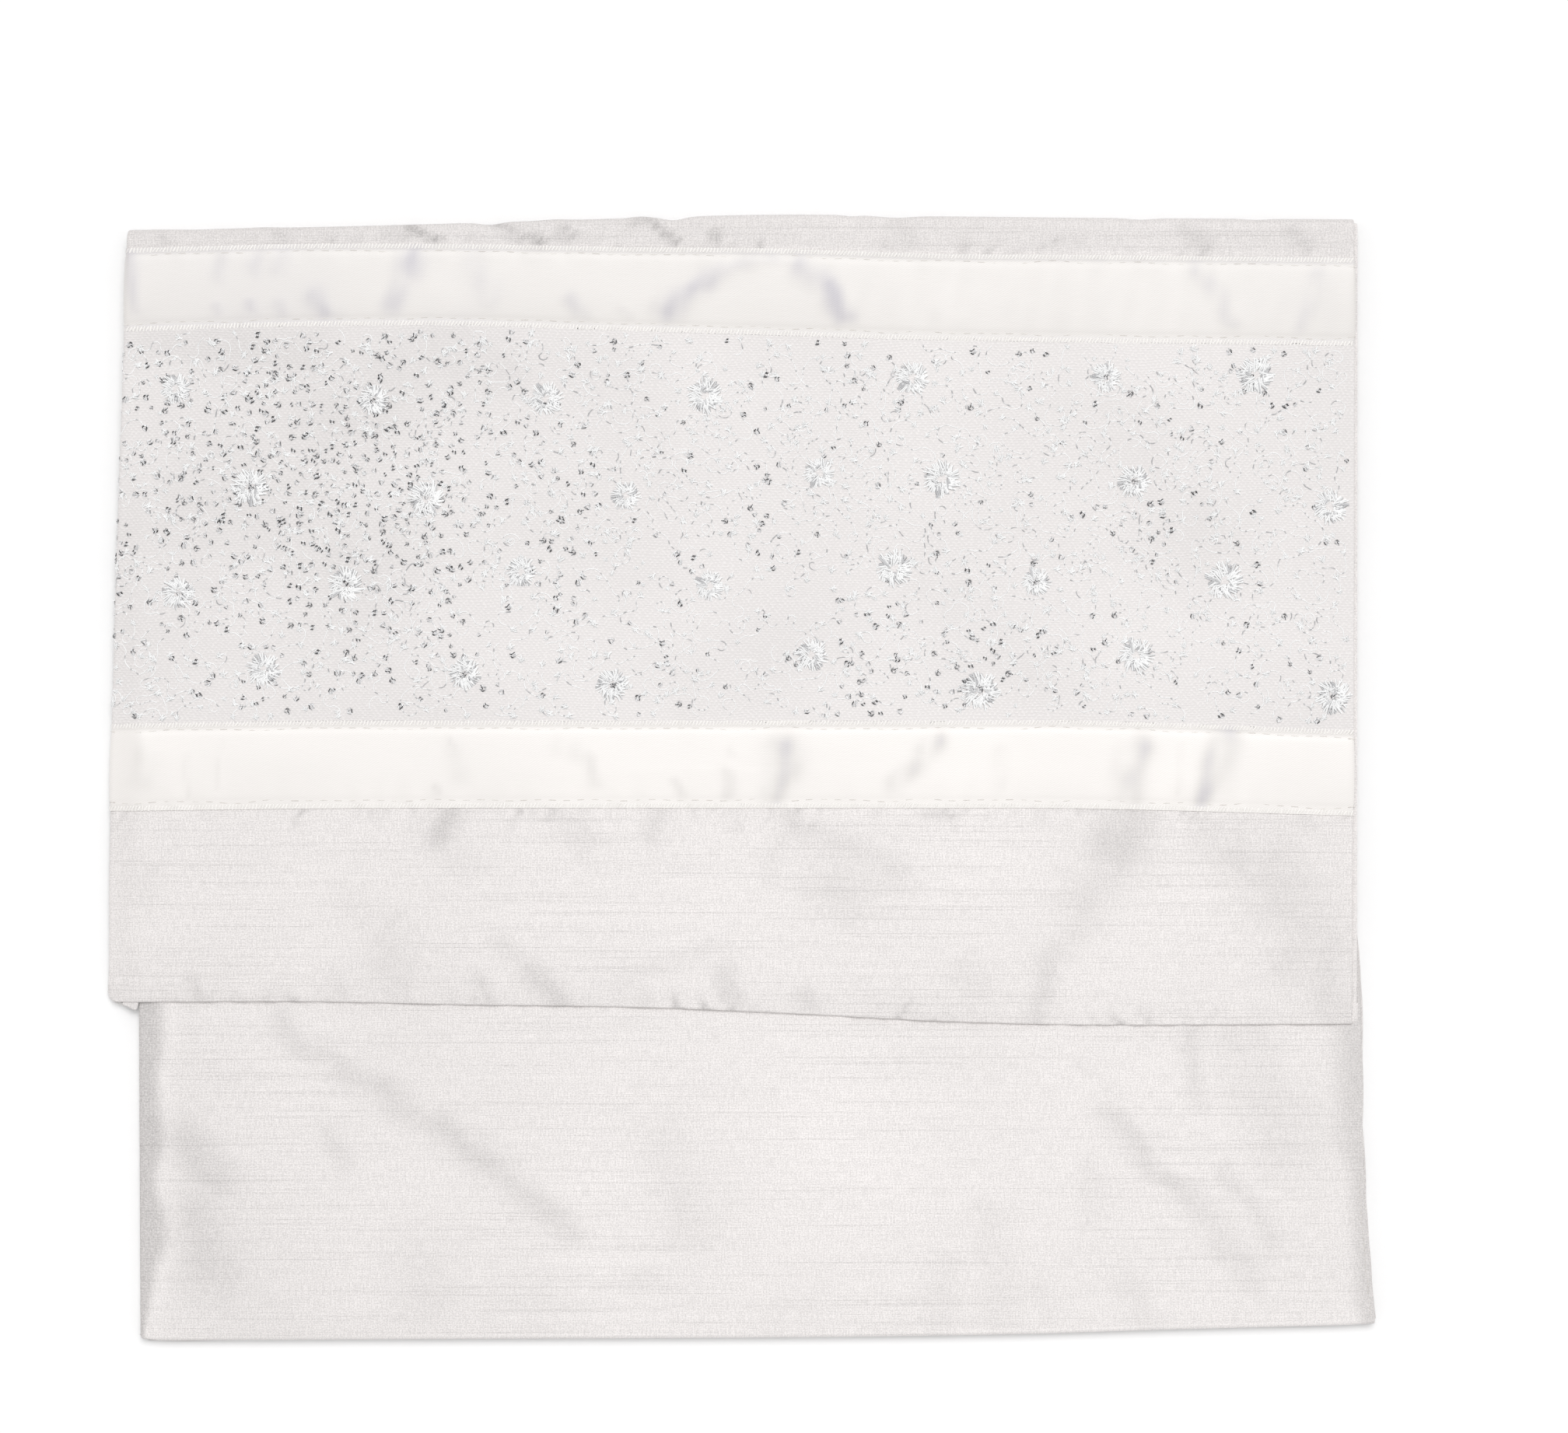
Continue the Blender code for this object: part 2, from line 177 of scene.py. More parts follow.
@dataclass(frozen=True)
class Plan:
    """Where the folded shawl's lines and sides lie, seen from above."""

    lines: Rows = (
        # x, hem, lower ribbon front and back, upper ribbon front and back, fold
        (-201.1, -72.1, -10.6, 17.4, 143.1, 169.9, 176.1), (-138.6, -71.9, -9.8, 18.4, 145.0, 171.4, 177.1),
        (-88.6, -72.9, -9.6, 18.4, 145.1, 171.3, 178.4), (-38.6, -73.6, -9.6, 18.4, 143.5, 170.4, 179.9),
        (11.4, -75.5, -9.6, 18.4, 141.9, 169.9, 181.1), (61.4, -78.1, -9.6, 18.4, 140.4, 168.3, 180.6),
        (111.4, -79.4, -9.8, 18.4, 139.6, 167.9, 180.1), (195.7, -79.1, -12.1, 15.4, 138.6, 166.9, 179.6),
    )
    flap_left: Rows = (
        (-72.3, -201.9), (-71.6, -203.0), (-70.4, -203.9), (-68.6, -204.3), (-66.0, -204.1), (-60.0, -203.8),
        (-24.9, -203.6), (62.6, -201.1), (137.6, -198.4), (181, -197.4),
    )
    flap_right: Rows = ((-79, 195.7), (180, 196.4))
    under_right: Rows = ((-79, 197.4), (180, 197.6))
    under_hem: Rows = (
        (-204, -72.3), (-201, -72.7), (-198, -73.5), (-194.7, -74.5), (-193.9, -71.8), (-190, -71.3),
        (-170, -71.3), (-60, -72.6), (11.4, -74.9), (61.4, -77.5), (111.4, -78.8), (197, -78.5),
    )
    lower_left: Rows = ((-181, -193.6), (-72, -194.1), (181, -194.3))
    lower_right: Rows = (
        (-176, 203.4), (-162, 202.2), (-137, 200.1), (-112, 199.4), (-72, 198.8), (-56, 198.0), (-36, 196.8),
        (25, 196.4), (181, 196.4),
    )
    stack_right: Rows = (
        (-176, 204.6), (-162, 203.2), (-137, 201.3), (-112, 200.4), (-72, 199.8), (-56, 198.9), (-36, 197.6),
        (25, 197.1), (181, 197.0),
    )
    lower_front: Rows = (
        (-193, -181.1), (-88.6, -180.6), (11.4, -180.1), (86.4, -179.1), (136.4, -177.6), (204, -175.9),
    )
    front_peek: Rows = (
        (-193, 0.6), (-178, 1.0), (-150, 0.2), (0, 0.0), (120, 0.3), (185, 0.8), (204, 0.3),
    )
    fold_dents: Rows = (
        # x, half width and depth
        (-154, 5.0, -0.25), (-176, 7.0, 0.2), (-81, 4.2, 0.8), (-60, 5.0, -0.35), (-33, 3.4, -0.45),
        (-22, 4.2, 1.1), (35, 3.0, 0.4), (49, 7.0, 0.65), (128, 5.0, 0.5), (165, 4.0, 0.35),
    )

    def line(self, name: Line, x: Array) -> Array:
        """The y of one of the lines across the flap, at each x."""
        y = smooth([(row[0], row[name.value]) for row in self.lines], x)
        if name is Line.FOLD:
            for place, width, depth in self.fold_dents:
                y = y - depth * MM * bell(x - place * MM, width * MM)
        return y


PLAN = Plan()
FLAP_TOP = 7.9 * MM
LOWER_TOP = 5.3 * MM
STACK_TOP = 4.0 * MM
BACK_RADIUS = 2.9 * MM
FRONT_RADIUS = 1.9 * MM
LEFT_RADIUS = 1.2 * MM


def within(u: Array) -> Array:
    """Places across, kept to the width that the plan covers."""
    return np.clip(u, -205 * MM, 200 * MM)


@dataclass(frozen=True)
class Creases:
    """Soft creases of one stretch of cloth.

    Each row is a straight piece of a crease: x and y of its start, x and y of its end, its half width and its
    height in millimetres, and its painted shade: how much darker the cloth's colour is painted on it.
    """

    rows: Rows = ()
    crisp: float = 2.0
    widen: float = 1.0
    deepen: float = 1.0
    waver: float = 0.6 * MM
    patchy: float = 0.16
    patch_size: float = 12 * MM

    def over(self, x: Array, y: Array, column: int) -> Array:
        """The largest value of one column that the creases give at each place.

        Args:
            x: Places across, in metres.
            y: Places up the plan, in metres.
            column: 5 for the height, 6 for the shade.

        Returns:
            The value there, fading to nothing beside every crease.
        """
        most = np.zeros(np.broadcast(x, y).shape)
        if self.rows:
            x, y = x + self.waver * Swell(19 * MM, 91)(x, y), y + self.waver * Swell(17 * MM, 92)(x, y)
        for row in self.rows:
            x0, y0, x1, y1, width = (value * MM for value in row[:5])
            square = max((x1 - x0) ** 2 + (y1 - y0) ** 2, 1e-12)
            run = np.clip(((x - x0) * (x1 - x0) + (y - y0) * (y1 - y0)) / square, 0.0, 1.0)
            away = np.hypot(x - x0 - run * (x1 - x0), y - y0 - run * (y1 - y0))
            most = np.maximum(most, row[column] * bell(away, width * self.widen, self.crisp))
        return most

    def lift(self, x: Array, y: Array) -> Array:
        """How high the creases lift the cloth at each place."""
        return self.over(x, y, 5) * MM

    def tone(self, x: Array, y: Array) -> Array:
        """How light the cloth is painted at each place: the creases' painted shade, made patchy, and 1 where
        none is painted.
        """
        uneven = 1.0 + self.patchy * Swell(self.patch_size, 93)(x, y)
        return 1.0 - self.deepen * uneven * self.over(x, y, 6)


def puckers(x: Array, away: Array, reach: float, seed: int) -> Array:
    """Painted shade of the small uneven puckers along a seam or a hem.

    Args:
        x: Places along the seam.
        away: Distance from the seam.
        reach: How far from the seam they run.
        seed: Seed of their places.

    Returns:
        How much darker the painted shade makes the cloth, from 0 to about 0.1.
    """
    lean = x + 0.7 * away * np.sign(Ripple(60 * MM, seed + 2)(x))
    teeth = np.clip(Ripple(5.5 * MM, seed, 7)(lean) - 0.35, 0.0, 1.0)
    teeth = teeth * np.clip(0.6 + Ripple(42 * MM, seed + 1)(x), 0, 1.4)
    length = reach * (1.0 + 0.5 * Ripple(12 * MM, seed + 3)(x))
    return 0.27 * teeth * bell(away, np.maximum(length, 0.4 * MM))


def painted_room_light(x: Array, y: Array) -> Array:
    """Painted light: how the light falls off a little towards the left, the back and the far right, with a
    faint broad swell.
    """
    left = 0.045 * ease(-x, -30 * MM, 170 * MM)
    left += 0.022 * ease(-x, 20 * MM, 180 * MM) * ease(-y, 80 * MM, 175 * MM)
    right = 0.018 * ease(x, 110 * MM, 205 * MM)
    broad = 0.012 * Swell(70 * MM, 94)(x, y)
    return 1.0 - left - right - 0.012 * ease(np.abs(y + 60 * MM), 60 * MM, 220 * MM) + broad


@dataclass(frozen=True)
class Roll:
    """A round turn of the cloth at one side of a sheet."""

    radius: float
    degrees: float

    def turn(self, beyond: Array) -> tuple[Array, Array]:
        """Where the cloth goes, at a length past the start of the turn.

        Args:
            beyond: Length of cloth past the start, in metres, where nothing turns below 0.

        Returns:
            How far out and how far down the cloth has gone.
        """
        most = math.radians(self.degrees)
        beyond = np.maximum(beyond, 0.0)
        angle = np.clip(beyond / self.radius, 0.0, most)
        straight = np.maximum(beyond - self.radius * most, 0.0)
        out = self.radius * np.sin(angle) + straight * math.cos(most)
        down = self.radius * (1 - np.cos(angle)) + straight * math.sin(most)
        return out, down

    @property
    def length(self) -> float:
        """Length of cloth in the turn."""
        return self.radius * math.radians(self.degrees)


# Node trees and finishes


class Value:
    """A result of a node, which plain operators add to, take from and multiply."""

    def __init__(self, nodes: "Nodes", socket: Socket) -> None:
        """Holds a socket and the tree that it is in."""
        self.nodes, self.socket = nodes, socket

    def __add__(self, other: object) -> "Value":
        """The sum of two numbers."""
        return self.nodes.math("ADD", self, other)

    def __sub__(self, other: object) -> "Value":
        """This number less another."""
        return self.nodes.math("SUBTRACT", self, other)

    def __rsub__(self, other: object) -> "Value":
        """A plain number less this one."""
        return self.nodes.math("SUBTRACT", other, self)

    def __mul__(self, other: object) -> "Value":
        """The product of two numbers."""
        return self.nodes.math("MULTIPLY", self, other)


class Nodes:
    """A node tree that is laid out by one call for each node."""

    def __init__(self, tree: bpy.types.NodeTree) -> None:
        """Starts on a tree."""
        self.tree = tree

    def feed(self, socket: Socket, value: object) -> None:
        """Links a socket to a node's result, or sets it to a plain value."""
        if isinstance(value, Value):
            self.tree.links.new(value.socket, socket)
        else:
            socket.default_value = value

    def node(self, kind: str, links: Links | None = None, **settings: object) -> bpy.types.Node:
        """Adds a node, sets its properties and feeds its inputs.

        Args:
            kind: The node's type.
            links: For each input's name or number, a node's result or a plain value.
            **settings: The node's properties.

        Returns:
            The node.
        """
        made = self.tree.nodes.new(kind)
        for key, value in settings.items():
            setattr(made, key, value)
        for key, value in (links or {}).items():
            self.feed(made.inputs[key], value)
        return made

    def value(self, kind: str, links: Links | None = None, give: str | int = 0, **settings: object) -> Value:
        """Adds a node as above and gives one of its results."""
        return Value(self, self.node(kind, links, **settings).outputs[give])

    def math(self, operation: str, first: object, second: object = 0.0) -> Value:
        """Adds a math node and gives its result."""
        return self.value("ShaderNodeMath", {0: first, 1: second}, operation=operation)


class Graph(Nodes):
    """Lays out a material's nodes."""

    def __init__(self, name: str) -> None:
        """Makes an empty material with a Principled shader."""
        self.material = bpy.data.materials.new(name)
        self.material.use_nodes = True
        super().__init__(self.material.node_tree)
        self.shader = self.tree.nodes["Principled BSDF"]

    def ramp(self, value: object, low: float, high: float, to_low: float = 0, to_high: float = 1) -> Value:
        """Maps a value smoothly from one range to another."""
        links = dict(enumerate((value, low, high, to_low, to_high)))
        return self.value("ShaderNodeMapRange", links, "Result", interpolation_type="SMOOTHSTEP")

    def cloth(self) -> tuple[Value, Value, Value]:
        """The cloth coordinates in metres, as a vector and as its two parts."""
        place = self.value("ShaderNodeUVMap", uv_map=UV_NAME)
        parts = self.node("ShaderNodeSeparateXYZ", {0: place})
        return place, Value(self, parts.outputs[0]), Value(self, parts.outputs[1])

    def noise(self, place: Value, size: tuple[float, float], detail: float = 2.0, turn: float = 0.0) -> Value:
        """Noise whose grain is about size metres along and across.

        Args:
            place: The coordinates it reads.
            size: Size of its grain, in metres.
            detail: How much finer grain it holds.
            turn: Turn of the grain, in radians.

        Returns:
            The noise, from 0 to 1.
        """
        links = {0: place, "Rotation": (0.0, 0.0, turn), "Scale": (1 / size[0], 1 / size[1], 1.0)}
        grain = self.value("ShaderNodeMapping", links, vector_type="POINT")
        links = {"Vector": grain, "Scale": 1.0, "Detail": detail}
        return self.value("ShaderNodeTexNoise", links, noise_dimensions="2D")

    def attribute(self, name: str) -> Value:
        """A number that each point of the mesh holds."""
        return self.value("ShaderNodeAttribute", None, "Fac", attribute_name=name)

    def broken_painted_light(self, place: Value) -> Value:
        """The painted light and shade that each point of the mesh holds, with the painted shade broken up by
        the weave.
        """
        broken = self.ramp(self.noise(place, (0.8 * MM, 0.6 * MM), 1.0), 0.3, 0.7, 0.8, 1.2)
        return 1.0 - (1.0 - self.attribute(PAINTED_LIGHT_NAME)) * broken

    def waves(self, place: Value, pitch: float) -> Value:
        """A sine wave along one coordinate."""
        return self.math("SINE", place * (2 * math.pi / pitch))

    def tinted(self, colour: Colour, factor: object) -> Value:
        """A colour times a number that varies over the surface."""
        return self.value("ShaderNodeVectorMath", {0: colour, "Scale": factor}, operation="SCALE")

    def finish(self, height: Value | None = None, depth: float = 0.0, **values: object) -> Material:
        """Feeds the shader and gives the material.

        Args:
            height: What bumps the surface, from 0 to 1.
            depth: How deep the bumps are, in metres.
            **values: A result or a uniform value for each of the shader's sockets, with _ for a space.

        Returns:
            The material.
        """
        if height:
            links = {"Strength": 1.0, "Distance": depth, "Height": height}
            values["Normal"] = self.value("ShaderNodeBump", links)
        for name, value in values.items():
            self.feed(self.shader.inputs[name.replace("_", " ")], value)
        return self.material


@dataclass(frozen=True)
class DupioniFinish:
    """Plain-woven dupioni: a fine lively weave, horizontal slubs and a soft sheen."""

    name: str = "dupioni_white"
    colour: Colour = (0.812, 0.778, 0.766)
    thread_pitch: float = 0.94 * MM
    pick_pitch: float = 0.90 * MM
    slub_length: float = 105 * MM
    slub_height: float = 0.66 * MM
    weave_depth: float = 0.06 * MM
    roughness: float = 0.52

    def make(self) -> Material:
        """Builds the material."""
        graph = Graph(self.name)
        place, u, v = graph.cloth()
        sway = graph.noise(place, (9 * MM, 5 * MM)) * (1.2 * self.thread_pitch)
        rise = graph.noise(place, (14 * MM, 4 * MM), 1.0) * (0.8 * self.pick_pitch)
        warp = graph.waves(u + sway, 0.5 * self.thread_pitch)
        weave = (warp + graph.waves(v + rise, 0.5 * self.pick_pitch)) * 0.5
        speck = graph.noise(place, (0.50 * MM, 0.42 * MM), 1.0)
        streak = graph.noise(place, (0.42 * MM, 4.5 * MM))
        pick = graph.noise(place, (6 * MM, 0.42 * MM), 1.0)
        bright = graph.ramp(weave * 0.16 + speck + streak * 0.45 + pick * 0.25, 0.55, 1.15)
        slub = graph.noise(place, (self.slub_length, self.slub_height), 1.0)
        dark_slub = graph.ramp(slub, 0.63, 0.76)
        light_slub = graph.ramp(slub, 0.36, 0.22)
        bars = graph.noise(place, (90 * MM, 2.2 * MM), 3.0)
        cloudy = graph.noise(place, (34 * MM, 22 * MM), 3.0)
        shade = bright * 0.27 + 0.87 - dark_slub * 0.085 + light_slub * 0.03
        # The mesh's painted light and shade, broken up by the weave, darkens the weave's colour here.
        shade = (shade + (bars - 0.5) * 0.06 + (cloudy - 0.5) * 0.05) * graph.broken_painted_light(place)
        return graph.finish(
            weave * 0.4 + speck * 0.8 - dark_slub * 0.5 + light_slub * 0.5, self.weave_depth,
            Base_Color=graph.tinted(self.colour, shade), Specular_IOR_Level=0.42, Sheen_Weight=0.15,
            Roughness=graph.ramp(cloudy, 0.3, 0.7, self.roughness - 0.05, self.roughness + 0.06),
            Sheen_Roughness=0.4,
        )


@dataclass(frozen=True)
class SatinFinish:
    """Creamy satin ribbon with a very fine diagonal twill, and a painted bluish shade where its painted light
    is low.
    """

    name: str = "satin_cream"
    colour: Colour = (0.905, 0.872, 0.845)
    shade_colour: Colour = (0.0, 0.0, 0.22)
    shade_start: float = 0.87
    twill_pitch: float = 0.60 * MM
    twill_turn: float = math.radians(120)
    roughness: float = 0.36

    def make(self) -> Material:
        """Builds the material."""
        graph = Graph(self.name)
        place, u, v = graph.cloth()
        fray = graph.noise(place, (4 * MM, 4 * MM), 1.0) * (0.5 * MM)
        diagonal = v * math.sin(self.twill_turn) + u * math.cos(self.twill_turn)
        twill = graph.waves(diagonal + fray, self.twill_pitch)
        floats = graph.noise(place, (5 * MM, 0.3 * MM))
        cloudy = graph.noise(place, (40 * MM, 14 * MM), 3.0)
        shade = twill * 0.028 + 0.98 + (floats - 0.5) * 0.03 + (cloudy - 0.5) * 0.04
        # Painted light and shade from the mesh darkens the satin; below shade_start a painted bluish shade is
        # added.
        tone = graph.attribute(PAINTED_LIGHT_NAME)
        warm = graph.tinted(self.colour, shade * tone)
        lit = graph.math("MINIMUM", tone, self.shade_start)
        cool = graph.tinted(self.shade_colour, self.shade_start - lit)
        both = graph.value("ShaderNodeVectorMath", {0: warm, 1: cool}, operation="ADD")
        return graph.finish(
            twill * 0.3 + floats, 0.02 * MM, Base_Color=both, Roughness=self.roughness,
            Specular_IOR_Level=0.5, Anisotropic=0.35, Sheen_Weight=0.08,
        )


@dataclass(frozen=True)
class NetFinish:
    """Embroidery ground: fine net whose short wavy bars lie in rows over the cloth."""

    name: str = "net_white"
    colour: Colour = (0.838, 0.806, 0.796)
    bar_length: float = 1.5 * MM
    row_pitch: float = 0.83 * MM

    def make(self) -> Material:
        """Builds the material."""
        graph = Graph(self.name)
        place, u, v = graph.cloth()
        drift = graph.noise(place, (16 * MM, 9 * MM)) * (3.0 * MM)
        slant = v + graph.noise(place, (30 * MM, 12 * MM), 1.0) * (2.5 * MM)
        brick = graph.waves(u + drift, self.bar_length) * graph.waves(slant, 2 * self.row_pitch)
        broken = graph.noise(place, (1.3 * MM, 0.5 * MM), 1.0)
        lively = brick * 0.26 + broken + graph.waves(slant, self.row_pitch) * 0.16
        bars = graph.ramp(lively, 0.3, 0.85)
        cloudy = graph.noise(place, (45 * MM, 30 * MM), 3.0)
        # The mesh's painted light and shade, broken up by the weave, darkens the net's colour.
        shade = (bars * 0.10 + 0.93 + (cloudy - 0.5) * 0.05) * graph.broken_painted_light(place)
        tinted = graph.tinted(self.colour, shade)
        return graph.finish(
            bars, 0.07 * MM, Base_Color=tinted, Roughness=0.6, Specular_IOR_Level=0.35, Sheen_Weight=0.12
        )


@dataclass(frozen=True)
class ThreadFinish:
    """Embroidery or sewing thread whose stitches each take a colour between a dark and a light one: painted
    reflections on the silver, painted shade on the thread lines and petals, a slight tint on the other
    threads.
    """

    name: str
    dark: Colour
    light: Colour
    roughness: float
    metallic: float = 0.0
    split: tuple[float, float] = (0.0, 1.0)

    def make(self) -> Material:
        """Builds the material."""
        graph = Graph(self.name)
        share = graph.ramp(graph.attribute(PAINTED_LIGHT_AND_TINT_NAME), *self.split)
        links = {"Factor": share, "A": (*self.dark, 1.0), "B": (*self.light, 1.0)}
        mixed = graph.value("ShaderNodeMix", links, "Result", data_type="RGBA")
        place = graph.value("ShaderNodeTexCoord", None, "Object")
        ply = graph.noise(place, (0.35 * MM, 0.12 * MM), 1.0, 0.7)
        return graph.finish(
            ply, 0.03 * MM, Base_Color=mixed, Roughness=self.roughness, Metallic=self.metallic,
            Specular_IOR_Level=0.55,
        )


def grey(level: float) -> Colour:
    """A grey, from black at 0 to white at 1."""
    return (level, level, level)


class Wardrobe:
    """Every finish of the shawl, made once."""

    def __init__(self) -> None:
        """Makes the materials."""
        self.dupioni = DupioniFinish().make()
        self.satin = SatinFinish().make()
        self.net = NetFinish().make()
        self.white = ThreadFinish("thread_white", grey(0.86), grey(0.97), 0.38).make()
        # Thread lines: their grey stitches are painted shade along the white thread.
        line = ((0.45, 0.45, 0.46), grey(0.99), 0.4, 0.0, (0.10, 0.40))
        self.line = ThreadFinish("thread_line", *line).make()
        # Silver knots: their near-black and white stitches are painted reflections of the metal thread.
        silver = ((0.06, 0.06, 0.065), (0.95, 0.95, 0.96), 0.34, 0.2, (0.27, 0.70))
        self.silver = ThreadFinish("thread_silver", *silver).make()
        # Rosette petals: their grey stitches are painted shade between the stitches.
        petal = ((0.56, 0.56, 0.57), grey(0.96), 0.40, 0.0, (0.05, 0.33))
        self.petal = ThreadFinish("thread_petal", *petal).make()
        self.sewing = ThreadFinish("thread_sewing", (0.72, 0.68, 0.64), (0.86, 0.83, 0.79), 0.5).make()
        self.picot = ThreadFinish("thread_picot", (0.90, 0.875, 0.845), (0.95, 0.925, 0.895), 0.42).make()


# Meshes


def finish_piece(piece: Piece, slot: str, replaced: Sequence[str] = ()) -> Piece:
    """Ties a piece to the shawl's one body and hides the solids that it stands for.

    Args:
        piece: The finished piece.
        slot: The name of a material slot; not used.
        replaced: The solids that it stands for.

    Returns:
        The piece.
    """
    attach(piece, "root")
    if replaced:
        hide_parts(*replaced)
    LOG.info("%s: %d faces", piece.name, len(piece.data.polygons))
    return piece


def unit(directions: Array) -> Array:
    """Directions brought to length 1."""
    return directions / np.maximum(np.linalg.norm(directions, axis=-1, keepdims=True), 1e-12)


def grid_directions(grid: Array, axis: int) -> Array:
    """The direction of a grid's lines at each point, along one axis."""
    steps = unit(np.diff(grid, axis=axis))
    first = np.take(steps, [0], axis=axis)
    last = np.take(steps, [-1], axis=axis)
    return np.concatenate([first, steps], axis=axis) + np.concatenate([steps, last], axis=axis)


def in_scene(name: str, data: bpy.types.ID) -> Piece:
    """Puts an object with some data into the scene."""
    made = bpy.data.objects.new(name, data)
    bpy.context.scene.collection.objects.link(made)
    return made


def mesh_object(name: str, points: Array, faces: Sequence[Sequence[int]], material: Material) -> Piece:
    """Makes a smooth mesh object at the origin."""
    mesh = bpy.data.meshes.new(name)
    mesh.from_pydata(points.tolist(), [], faces)
    mesh.materials.append(material)
    mesh.shade_smooth()
    return in_scene(name, mesh)


def mark_cloth(piece: Piece, cloth: Array, tone: Array) -> None:
    """Gives each point of a piece its cloth coordinates and its painted light and shade, and keeps the
    piece's rims sharp.
    """
    mesh = piece.data
    mesh.set_sharp_from_angle(angle=SHARP_ANGLE)
    corners = np.zeros(len(mesh.loops), np.int32)
    mesh.loops.foreach_get("vertex_index", corners)
    mesh.uv_layers.new(name=UV_NAME).data.foreach_set("uv", cloth[corners].astype(np.float32).ravel())
    mesh.attributes.new(PAINTED_LIGHT_NAME, "FLOAT", "POINT").data.foreach_set("value", tone.astype(np.float32))


def cloth_shell(
    name: str, outer: Array, thickness: float, cloth: Array, tone: Array, material: Material
) -> Piece:
    """Makes a closed thin shell of cloth under a grid of points.

    Args:
        name: The piece's name.
        outer: Points of the outer face, rows to the back by columns to the right by 3.
        thickness: Thickness of the cloth.
        cloth: Cloth coordinates of each point, rows by columns by 2.
        tone: The painted light and shade of each point: below 1 where shade is painted, above 1 where light
            is.
        material: Its finish.

    Returns:
        The piece.
    """
    rows, columns = outer.shape[:2]
    inner = outer - unit(np.cross(grid_directions(outer, 1), grid_directions(outer, 0))) * thickness
    points = np.concatenate([outer.reshape(-1, 3), inner.reshape(-1, 3)])
    index = np.arange(rows * columns).reshape(rows, columns)
    top = np.stack([index[:-1, :-1], index[:-1, 1:], index[1:, 1:], index[1:, :-1]], axis=2).reshape(-1, 4)
    below = top[:, ::-1] + rows * columns
    rim = np.concatenate([index[0, :], index[1:, -1], index[-1, -2::-1], index[-2:0:-1, 0]])
    after = np.roll(rim, -1)
    side = np.stack([after, rim, rim + rows * columns, after + rows * columns], axis=1)
    piece = mesh_object(name, points, np.concatenate([top, below, side]).tolist(), material)
    mark_cloth(piece, np.tile(cloth.reshape(-1, 2), (2, 1)), np.tile(np.clip(tone, 0.0, 1.2).ravel(), 2))
    return piece


# Stretches of cloth


